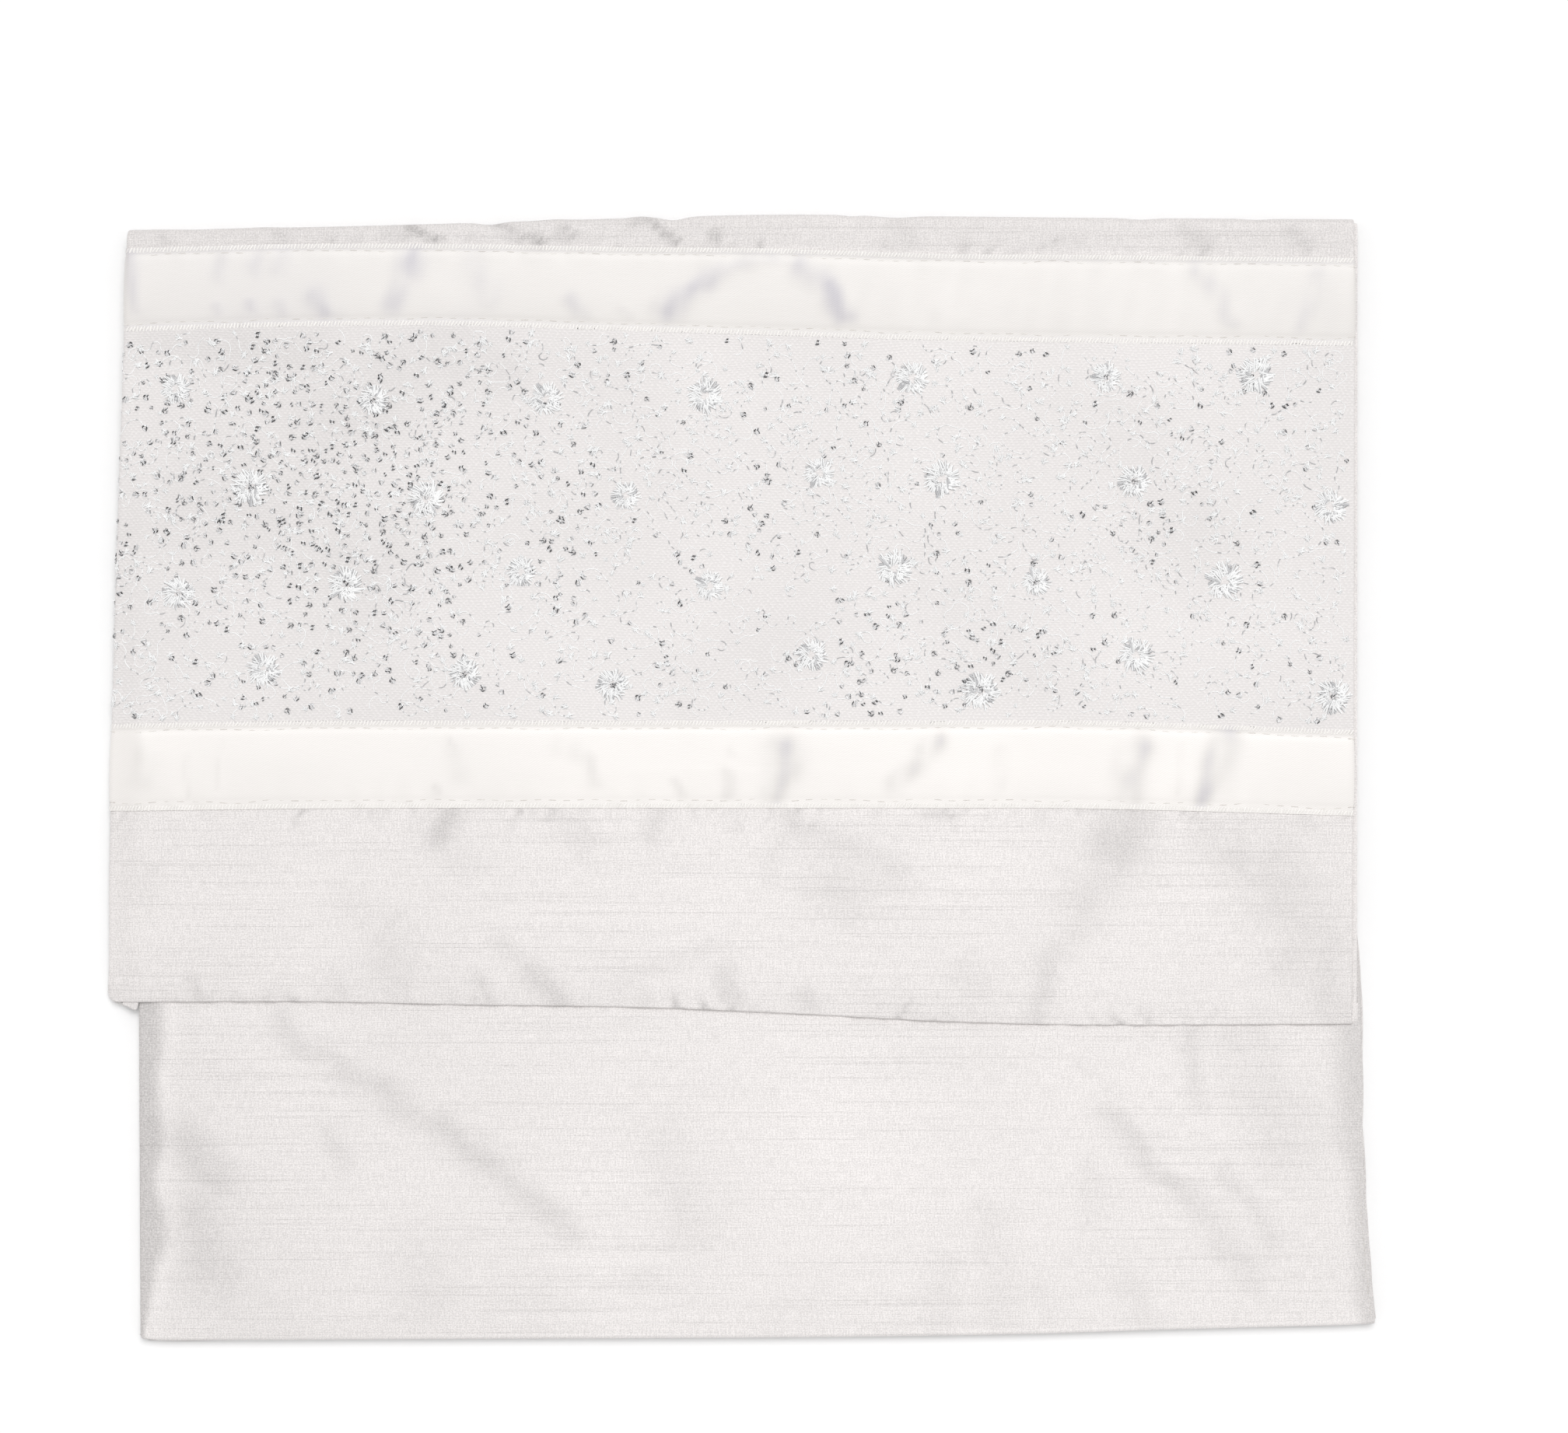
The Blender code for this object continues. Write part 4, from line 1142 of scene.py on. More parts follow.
@dataclass
class HiddenLayers:
    """The layers under the front panel, which show only at their edges."""

    levels: int = 46
    layers: int = 7
    groove: float = 0.36 * MM
    points: dict[Side, int] = field(
        default_factory=lambda: {Side.FRONT: 170, Side.RIGHT: 150, Side.BACK: 170, Side.LEFT: 130}
    )
    uneven: dict[Side, float] = field(
        default_factory=lambda: {Side.FRONT: 0.10, Side.LEFT: 0.22, Side.BACK: 0.15, Side.RIGHT: 0.55}
    )
    profile: Rows = (
        # z, front, left, back, right
        (0.00, 0.7, 0.3, 1.6, -0.5), (0.35, 1.3, 0.9, 2.3, -0.1), (0.85, 1.5, 0.9, 2.5, -0.1),
        (1.30, 1.2, 0.3, 2.2, -0.5), (1.70, 0.6, 0.8, 1.4, -0.6), (2.10, 0.1, 0.9, 0.9, -0.7),
        (2.55, 0.2, 0.3, 1.2, -0.9), (3.00, 0.5, 0.9, 0.9, -1.0), (3.40, 0.6, 0.9, 0.4, -1.2),
        (3.75, 0.5, 0.2, 0.1, -1.5), (4.00, 0.0, -0.4, -0.3, -1.6),
    )

    def stands_out(self, side: Side, height: float, along: Array) -> Array:
        """How far the edge stands out on one side, at a height and at places along it.

        Args:
            side: The side.
            height: Height above the table.
            along: Places along the side.

        Returns:
            The distance past the side's line.
        """
        out = float(smooth([(row[0], row[side.value]) for row in self.profile], np.array(height)))
        share = height / STACK_TOP * self.layers
        layer = int(min(share, self.layers - 1))
        groove = self.groove * abs(2 * (share - layer) - 1) ** 5
        uneven = self.uneven[side] * MM
        wander = uneven * Ripple(46 * MM, 40 + layer * 4 + side.value)(along)
        fade = min(1.0, (STACK_TOP - height) / (0.6 * MM))
        return out - groove + (wander - uneven * 0.5) * fade

    def edge(self, side: Side, height: float, along: Array) -> Array:
        """Where a side's edge runs at a height: its x or its y at places along it."""
        out = self.stands_out(side, height, along)
        if side is Side.FRONT:
            return smooth(PLAN.lower_front, along) + FRONT_RADIUS - out
        if side is Side.BACK:
            return PLAN.line(Line.FOLD, along) - BACK_RADIUS + out
        if side is Side.RIGHT:
            return smooth(PLAN.stack_right, along) + out
        return smooth(PLAN.lower_left, along) + LEFT_RADIUS - out

    def ring(self, height: float) -> Array:
        """Points round the layers at one height, counterclockwise from above."""
        made = []
        middle = np.array(0.0)
        for side, count in self.points.items():
            share = np.linspace(0.004, 0.996, count)
            share = share if side in (Side.FRONT, Side.RIGHT) else 1 - share
            if side in (Side.FRONT, Side.BACK):
                front = side is Side.FRONT
                level = smooth(PLAN.lower_front, middle) if front else PLAN.line(Line.FOLD, middle)
                left, right = (self.edge(other, height, level) for other in (Side.LEFT, Side.RIGHT))
                x = left + (right - left) * share
                y = self.edge(side, height, x)
                if front:
                    y = y - smooth(PLAN.front_peek, x) * (1.0 - ease(np.array(height), 1.2 * MM, 1.8 * MM))
            else:
                near = np.array(190 * MM if side is Side.RIGHT else -190 * MM)
                front_y, back_y = (self.edge(other, height, near) for other in (Side.FRONT, Side.BACK))
                y = front_y + (back_y - front_y) * share
                x = self.edge(side, height, y)
            made.append(np.stack([x, y, np.full(count, height)], axis=-1))
        return np.concatenate(made)

    def build(self, material: Material) -> Piece:
        """Builds the layers as one closed body."""
        rings = np.array([self.ring(float(height)) for height in np.linspace(0.0, STACK_TOP, self.levels)])
        points = rings.reshape(-1, 3)
        index = np.arange(len(points)).reshape(self.levels, -1)
        after = np.roll(index, -1, axis=1)
        sides = np.stack([index[:-1], after[:-1], after[1:], index[1:]], axis=2).reshape(-1, 4)
        faces = sides.tolist() + [index[0, ::-1].tolist(), index[-1].tolist()]
        piece = mesh_object("hidden_layers_cloth", points, faces, material)
        share = points[:, 2] / STACK_TOP * self.layers
        inside = 2 * (share - np.floor(np.minimum(share, self.layers - 1e-6))) - 1
        flat = np.stack([points[:, 0] + 3 * points[:, 2], points[:, 1] + 5 * points[:, 2]], axis=-1)
        # Painted shade in the grooves between the layers.
        mark_cloth(piece, flat, 0.99 - 0.42 * np.abs(inside) ** 5)
        return finish_piece(piece, "dupioni_cloth", ["folded_stack"])


# Trim that lies on the flap


@dataclass
class Strip:
    """A strip sewn on the flap, between two lines across it."""

    flap: Flap
    name: str
    low: Line
    high: Line
    node: str
    slot: str
    rise: float = 0.30 * MM
    crown: float = 0.0
    seam: float = 0.09
    thickness: float = 0.24 * MM
    overlap: float = 0.0
    rows: int = 34
    columns: int = 250
    # Painted shade over the whole strip, and painted shade between the picots along both edges.
    shade: float = 1.0
    gap_shade: float = 0.0
    creases: Creases = Creases()

    def line(self, share: float, x: Array) -> Array:
        """The v of a line along the strip at each x, at a share of its width."""
        low = PLAN.line(self.low, x) - self.overlap
        high = PLAN.line(self.high, x) + self.overlap
        return low + (high - low) * share

    def height(self, share: Array) -> Array:
        """How high the strip lies over the flap, across its width."""
        inside = np.clip((share - self.seam) / (1 - 2 * self.seam), 0, 1)
        dip = bell(share - self.seam, 0.03) + bell(share - 1 + self.seam, 0.03)
        return self.rise + self.crown * np.sin(math.pi * inside) ** 0.6 - 0.10 * MM * dip * (self.crown > 0)

    def build(self, material: Material) -> Piece:
        """Builds the strip as a thin shell on the flap."""
        shares = np.linspace(0, 1, self.rows)
        u, v = self.flap.spread([partial(self.line, float(share)) for share in shares], self.columns)
        lifted = self.creases.lift(u, v) * np.sin(math.pi * shares)[:, None] ** 0.5
        points, _ = self.flap.laid(u, v, self.height(shares)[:, None] + lifted)
        x, y = points[..., 0], points[..., 1]
        # Painted light and shade: darker between the picots at both edges, the creases' and the net's painted
        # shade, the room's painted fall-off and the strip's painted shade.
        gaps = 1 - self.gap_shade * (ease(-shares, -0.07, -0.06) + ease(shares, 0.93, 0.94))[:, None]
        light = self.creases.tone(x, y) * NET_CREASES.tone(x, y) * painted_room_light(x, y) * self.shade * gaps
        piece = cloth_shell(self.name, points, self.thickness, np.stack([u, v], axis=-1), light, material)
        return finish_piece(piece, self.slot, [self.node])

    def path(self, share: float) -> tuple[Array, Array]:
        """Cloth coordinates of a line along the strip, from under the left fold to the right edge."""
        u = np.arange(-206.5 * MM, 195.6 * MM, 1.0 * MM)
        return u, self.line(share, within(u))


# Stitches and knots made by Geometry Nodes


class StitchTree(Nodes):
    """Builds the node trees that set stitches along paths and knots on points."""

    def __init__(self, name: str) -> None:
        """Starts an empty tree with a geometry input and output."""
        super().__init__(bpy.data.node_groups.new(name, "GeometryNodeTree"))
        self.tree.interface.new_socket("Geometry", in_out="OUTPUT", socket_type="NodeSocketGeometry")
        self.tree.interface.new_socket("Geometry", in_out="INPUT", socket_type="NodeSocketGeometry")
        self.inputs = self.node("NodeGroupInput")
        self.start = Value(self, self.inputs.outputs["Geometry"])
        self.end = self.node("NodeGroupOutput")
        self.identifiers: dict[str, str] = {}

    def sizes(self, *names: str, kind: str = "NodeSocketFloat") -> list[Value]:
        """Adds named inputs and gives their values inside the tree."""
        made = []
        for name in names:
            identifier = self.tree.interface.new_socket(name, in_out="INPUT", socket_type=kind).identifier
            self.identifiers[name] = identifier
            made += [Value(self, socket) for socket in self.inputs.outputs if socket.identifier == identifier]
        return made

    def named(self, name: str, kind: str) -> Value:
        """A named value that each point of the source holds."""
        return self.value("GeometryNodeInputNamedAttribute", {"Name": name}, "Attribute", data_type=kind)

    def random(self, low: object, high: object, seed: int) -> Value:
        """A number that differs from one point to the next."""
        return self.value("FunctionNodeRandomValue", {"Seed": seed, 2: low, 3: high}, 1, data_type="FLOAT")

    def stood(self) -> Value:
        """The rotation that stands a stitch on the cloth and turns it to its own direction."""
        links: Links = {"Vector": self.named(UP_NAME, "FLOAT_VECTOR")}
        upright = self.value("FunctionNodeAlignRotationToVector", links, axis="Z")
        links = {"Rotation": upright, "Vector": self.named(RUN_NAME, "FLOAT_VECTOR")}
        return self.value("FunctionNodeAlignRotationToVector", links, axis="X", pivot_axis="Z")

    def turned(self, base: Value, angle: Value) -> Value:
        """Turns a rotation about its own upright axis."""
        turn = self.value("FunctionNodeAxisAngleToRotation", {"Axis": (0.0, 0.0, 1.0), "Angle": angle})
        return self.value("FunctionNodeRotateRotation", {0: base, 1: turn}, rotation_space="LOCAL")

    def tube(self, curve: Value, radius: Value, sides: int) -> bpy.types.Node:
        """A closed round tube along a curve."""
        links: Links = {"Resolution": sides, "Radius": radius}
        ring = self.value("GeometryNodeCurvePrimitiveCircle", links, mode="RADIUS")
        links = {"Curve": curve, "Profile Curve": ring, "Fill Caps": True}
        return self.node("GeometryNodeCurveToMesh", links)

    def stitch(self, length: Value, radius: Value, arch: Value, steps: Value, sides: int) -> Value:
        """One arched stitch along X, as a closed tube.

        Args:
            length: From end to end.
            radius: Of the thread.
            arch: Height of its middle.
            steps: Segments along it.
            sides: Sides round it.

        Returns:
            The stitch's mesh.
        """
        links: Links = {"Resolution": 8}
        ends = (("Start", "X", length * -0.5), ("Middle", "Z", arch * 2.0), ("End", "X", length * 0.5))
        for end, part, place in ends:
            links[end] = self.value("ShaderNodeCombineXYZ", {part: place})
        arc = self.value("GeometryNodeCurveQuadraticBezier", links)
        even = self.value("GeometryNodeResampleCurve", {"Curve": arc, "Count": steps + 1.0}, mode="COUNT")
        return Value(self, self.tube(even, radius, sides).outputs[0])

    def paths(self, pitch: Value) -> Value:
        """The source's paths as curves with even steps."""
        curve = self.value("GeometryNodeMeshToCurve", {"Mesh": self.start})
        return self.value("GeometryNodeResampleCurve", {"Curve": curve, "Length": pitch}, mode="LENGTH")

    def set_on(self, points: Value, stitch: Value, rotation: Value, scale: object, **more: object) -> Value:
        """Sets a stitch on each point."""
        links = {"Points": points, "Instance": stitch, "Rotation": rotation, "Scale": scale, **more}
        return self.value("GeometryNodeInstanceOnPoints", links)

    def painted_light_and_tint(self, geometry: Value, seed: int, domain: str = "INSTANCE") -> Value:
        """Gives each instance or point a random share between its thread's dark and light colour: painted
        light and shade on some threads, tint on others.
        """
        links = {"Geometry": geometry, "Name": PAINTED_LIGHT_AND_TINT_NAME, "Value": self.random(0.0, 1.0, seed)}
        return self.value("GeometryNodeStoreNamedAttribute", links, data_type="FLOAT", domain=domain)

    def finish(self, geometry: Value, material: Value) -> "StitchTree":
        """Ends the tree: instances made real, shaded smooth, with their material."""
        real = self.value("GeometryNodeRealizeInstances", {"Geometry": geometry})
        smoothed = self.value("GeometryNodeSetShadeSmooth", {0: real})
        dressed = self.value("GeometryNodeSetMaterial", {"Geometry": smoothed, "Material": material})
        self.feed(self.end.inputs[0], dressed)
        return self

    def run(self, name: str, source: bpy.types.Mesh, values: dict[str, object]) -> Piece:
        """Runs the tree on a source mesh and keeps the result as a plain mesh.

        Args:
            name: The piece's name.
            source: Points or paths, with their named values.
            values: The tree's inputs by name.

        Returns:
            The piece, at the origin and without modifiers.
        """
        carrier = in_scene(name + "_source", source)
        modifier = carrier.modifiers.new("Stitches", "NODES")
        modifier.node_group = self.tree
        for key, value in values.items():
            modifier[self.identifiers[key]] = value
        carrier.update_tag()
        graph = bpy.context.evaluated_depsgraph_get()
        mesh = bpy.data.meshes.new_from_object(carrier.evaluated_get(graph))
        mesh.name = name
        bpy.data.objects.remove(carrier, do_unlink=True)
        return in_scene(name, mesh)


def path_tree() -> StitchTree:
    """Tree that sets one stitch after another along paths.

    Returns:
        The tree, with inputs Pitch, Length, Radius, Arch, Uneven, Splay, Steps and Material.
    """
    made = StitchTree("stitches_along_paths")
    pitch, length, radius = made.sizes("Pitch", "Length", "Radius")
    arch, uneven, splay = made.sizes("Arch", "Uneven", "Splay")
    (steps,) = made.sizes("Steps", kind="NodeSocketInt")
    (material,) = made.sizes("Material", kind="NodeSocketMaterial")
    splayed = made.turned(made.stood(), made.random(splay * -1.0, splay, 6))
    thick = made.random(1.0 - uneven, uneven + 1.0, 8)
    long = made.random(1.0 - uneven, uneven + 1.0, 7)
    scale = made.value("ShaderNodeCombineXYZ", {"X": long, "Y": thick, "Z": thick * 0.6})
    stitches = made.set_on(made.paths(pitch), made.stitch(length, radius, arch, steps, 4), splayed, scale)
    return made.finish(made.painted_light_and_tint(stitches, 9), material)


def thread_tree() -> StitchTree:
    """Tree that sweeps one uneven thread along each path.

    Returns:
        The tree, with inputs Pitch, Radius, Uneven and Material.
    """
    made = StitchTree("threads_along_paths")
    pitch, radius, uneven = made.sizes("Pitch", "Radius", "Uneven")
    (material,) = made.sizes("Material", kind="NodeSocketMaterial")
    # Each point of a thread line gets a random share between dark and light: painted shade along the lines.
    lit = made.painted_light_and_tint(made.paths(pitch), 31, "POINT")
    thick = made.random(1.0 - uneven, uneven + 1.0, 32)
    sized = made.value("GeometryNodeSetCurveRadius", {"Curve": lit, "Radius": thick})
    tube = made.tube(sized, radius, 4)
    for socket in tube.inputs:
        if socket.name == "Scale":
            made.feed(socket, thick)
    return made.finish(Value(made, tube.outputs[0]), material)


def knot_tree(variants: int = 5) -> StitchTree:
    """Tree that sets a ring of radiating stitches on each point.

    Args:
        variants: How many different rings it draws from.

    Returns:
        The tree, with inputs Stitches, Inner, Outer, Radius, Arch, Uneven, Swirl, Splay, Lobes, Depth, Steps
        and Material.
    """
    made = StitchTree("radiating_stitches")
    inner, outer, radius, arch, uneven = made.sizes("Inner", "Outer", "Radius", "Arch", "Uneven")
    swirl, splay, lobes, depth = made.sizes("Swirl", "Splay", "Lobes", "Depth")
    stitches, steps = made.sizes("Stitches", "Steps", kind="NodeSocketInt")
    (material,) = made.sizes("Material", kind="NodeSocketMaterial")
    links: Links = {"Vertices": stitches, "Radius": (inner + outer) * 0.5}
    ring = made.value("GeometryNodeMeshCircle", links, fill_type="NONE")
    stitch = made.stitch(outer - inner, radius, arch, steps, 3)
    position = made.value("GeometryNodeInputPosition")
    outward = made.value("FunctionNodeAlignRotationToVector", {"Vector": position}, axis="X", pivot_axis="Z")
    parts = made.node("ShaderNodeSeparateXYZ", {0: position}).outputs
    angle = made.math("ARCTAN2", Value(made, parts[1]), Value(made, parts[0]))
    lobe = made.math("SINE", angle * lobes) * depth
    joined = made.node("GeometryNodeJoinGeometry")
    for seed in range(0, 10 * variants, 10):
        leaning = made.turned(outward, made.random(swirl - splay, swirl + splay, seed + 1))
        long = made.random(1.0 - uneven, uneven + 1.0, seed + 2) + lobe
        high = made.random(0.4, 1.0, seed + 3)
        scale = made.value("ShaderNodeCombineXYZ", {"X": long, "Y": 1.0, "Z": high})
        rosette = made.painted_light_and_tint(made.set_on(ring, stitch, leaning, scale), seed + 4)
        made.feed(joined.inputs[0], made.value("GeometryNodeGeometryToInstance", {0: rosette}))
    links = {"Seed": 99, 4: 0, 5: variants - 1}
    chosen = made.value("FunctionNodeRandomValue", links, 2, data_type="INT")
    pick = {"Pick Instance": True, "Instance Index": chosen}
    size = made.named(SIZE_NAME, "FLOAT")
    knots = made.set_on(made.start, Value(made, joined.outputs[0]), made.stood(), size, **pick)
    return made.finish(knots, material)


def source_mesh(
    points: Array, edges: Array, up: Array, run: Array, size: Array | None = None
) -> bpy.types.Mesh:
    """Makes the points or paths that a stitch tree works on.

    Args:
        points: Places, n by 3.
        edges: Pairs of point numbers, which make the paths.
        up: Direction away from the cloth at each point.
        run: Direction of the stitch at each point.
        size: Size of each knot, where the tree sets knots.

    Returns:
        The mesh.
    """
    mesh = bpy.data.meshes.new("source")
    mesh.from_pydata(points.tolist(), edges.tolist(), [])
    for label, values in ((UP_NAME, up), (RUN_NAME, run)):
        layer = mesh.attributes.new(label, "FLOAT_VECTOR", "POINT")
        layer.data.foreach_set("vector", values.astype(np.float32).ravel())
    if size is not None:
        mesh.attributes.new(SIZE_NAME, "FLOAT", "POINT").data.foreach_set("value", size.astype(np.float32))
    return mesh


def tangents(path: Array) -> Array:
    """Unit directions along a path."""
    return unit(np.gradient(path, axis=0))


def path_mesh(paths: Sequence[Array], ups: Sequence[Array], runs: Sequence[Array]) -> bpy.types.Mesh:
    """Makes paths that a stitch tree works on.

    Args:
        paths: The points of each path.
        ups: Directions away from the cloth at each path's points.
        runs: Directions of the stitches there.

    Returns:
        The mesh, in which edges join each path's points in a row.
    """
    edges, first = [], 0
    for path in paths:
        index = np.arange(first, first + len(path))
        edges.append(np.stack([index[:-1], index[1:]], axis=1))
        first += len(path)
    return source_mesh(*(np.concatenate(part) for part in (paths, edges, ups, runs)))


@dataclass
class RibbonTrim:
    """Woven picot edges and the sewing along one ribbon."""

    strip: Strip
    tree: StitchTree
    ribbon_width: float = 27.5 * MM
    picot_length: float = 1.55 * MM
    picot_lean: float = 0.42

    def lay(self, inset: float, height: float, across: bool, wander: float) -> bpy.types.Mesh:
        """Makes the paths along both edges of the ribbon.

        Args:
            inset: How far from the edges they run, as a share of its width.
            height: How high over the ribbon they lie.
            across: Whether their stitches lie across them.
            wander: How far they stray.

        Returns:
            The paths' mesh.
        """
        paths, ups, runs = [], [], []
        for number, share in enumerate((inset, 1 - inset)):
            u, v = self.strip.path(share)
            v = v + wander * Ripple(26 * MM, 60 + number)(u)
            rise = float(self.strip.height(np.array(share))) + height
            path, up = self.strip.flap.laid(u, v, np.full(u.shape, rise))
            along = tangents(path)
            paths.append(path)
            ups.append(up)
            runs.append(np.cross(up, along) + self.picot_lean * along if across else along)
        return path_mesh(paths, ups, runs)

    def build(self, wardrobe: Wardrobe) -> list[Piece]:
        """Builds the picot edges and the sewing."""
        values = {
            "Pitch": 1.075 * MM, "Length": self.picot_length, "Radius": 0.40 * MM, "Arch": 0.10 * MM,
            "Uneven": 0.13, "Splay": 0.24, "Steps": 4, "Material": wardrobe.picot,
        }
        source = self.lay(0.5 * self.picot_length / self.ribbon_width, -0.12 * MM, True, 0.0)
        picots = self.tree.run(self.strip.name + "_picots", source, values)
        values = {
            "Pitch": 4.55 * MM, "Length": 2.3 * MM, "Radius": 0.115 * MM, "Arch": 0.06 * MM,
            "Uneven": 0.08, "Splay": 0.02, "Steps": 2, "Material": wardrobe.sewing,
        }
        source = self.lay(self.strip.seam, 0.02 * MM, False, 0.5 * MM)
        sewing = self.tree.run(self.strip.name + "_sewing", source, values)
        return [finish_piece(piece, "satin_ribbon") for piece in (picots, sewing)]


@dataclass
class EdgeTrim:
    """Loose fibres at the cloth's edges and the sewing along the front panel's right edge."""

    panel: FrontPanel
    flap: Flap
    tree: StitchTree
    corner_y: float = -71.9 * MM
    fibre_inset: float = 0.25 * MM
    dash_inset: float = 1.35 * MM

    def along_right(self, low: float, high: float, inset: float, across: bool) -> bpy.types.Mesh:
        """Makes a path beside the front panel's right edge.

        Args:
            low: Its lowest y.
            high: Its highest y.
            inset: How far inside the edge it runs.
            across: Whether its stitches lie across the edge.

        Returns:
            The path's mesh.
        """
        y = np.arange(low, high, 0.8 * MM)
        x = smooth(PLAN.lower_right, y) - inset + 0.25 * MM * Ripple(9 * MM, 81)(y)
        z = LOWER_TOP + self.panel.relief(x, y) - (0.10 if across else -0.03) * MM
        points = np.stack([x, y, z], axis=-1)
        run = np.tile([1.0, 0.0, 0.0], (len(y), 1)) if across else tangents(points)
        return path_mesh([points], [np.tile([0.0, 0.0, 1.0], (len(y), 1))], [run])

    def corner(self) -> bpy.types.Mesh:
        """Makes a path round the flap's bottom left corner."""
        low = np.linspace(-201.6 * MM, -195.2 * MM, 16)[::-1]
        side = self.corner_y + 9.0 * MM * np.linspace(0, 1, 40)
        x = np.concatenate([low, smooth(PLAN.flap_left, side) + 0.25 * MM])
        y = np.concatenate([smooth(PLAN.under_hem, low) + 0.1 * MM, side])
        z = FLAP_TOP - 1.6 * MM - self.flap.droop(x, np.maximum(y, self.corner_y)) - self.flap.hem_sink
        points = np.stack([x, y, z], axis=-1)
        up = np.tile([0.0, 0.0, 1.0], (len(y), 1))
        return path_mesh([points], [up], [np.cross(tangents(points), up)])

    def build(self, wardrobe: Wardrobe) -> list[Piece]:
        """Builds the sewing, the panel's fibres and the fibres of the flap's corner."""
        values = {
            "Pitch": 0.42 * MM, "Length": 0.9 * MM, "Radius": 0.055 * MM, "Arch": 0.05 * MM,
            "Uneven": 0.45, "Splay": 1.0, "Steps": 3, "Material": wardrobe.picot,
        }
        source = self.along_right(-172 * MM, -86 * MM, self.fibre_inset, True)
        fibres = self.tree.run("front_panel_fibres", source, values)
        corner = self.tree.run("flap_corner_fibres", self.corner(), values)
        values |= {"Pitch": 1.7 * MM, "Length": 1.0 * MM, "Radius": 0.11 * MM, "Uneven": 0.15, "Splay": 0.12}
        values["Material"] = wardrobe.sewing
        source = self.along_right(-172 * MM, -128 * MM, self.dash_inset, False)
        sewing = self.tree.run("front_panel_sewing", source, values)
        return [finish_piece(piece, "dupioni_cloth") for piece in (sewing, fibres, corner)]


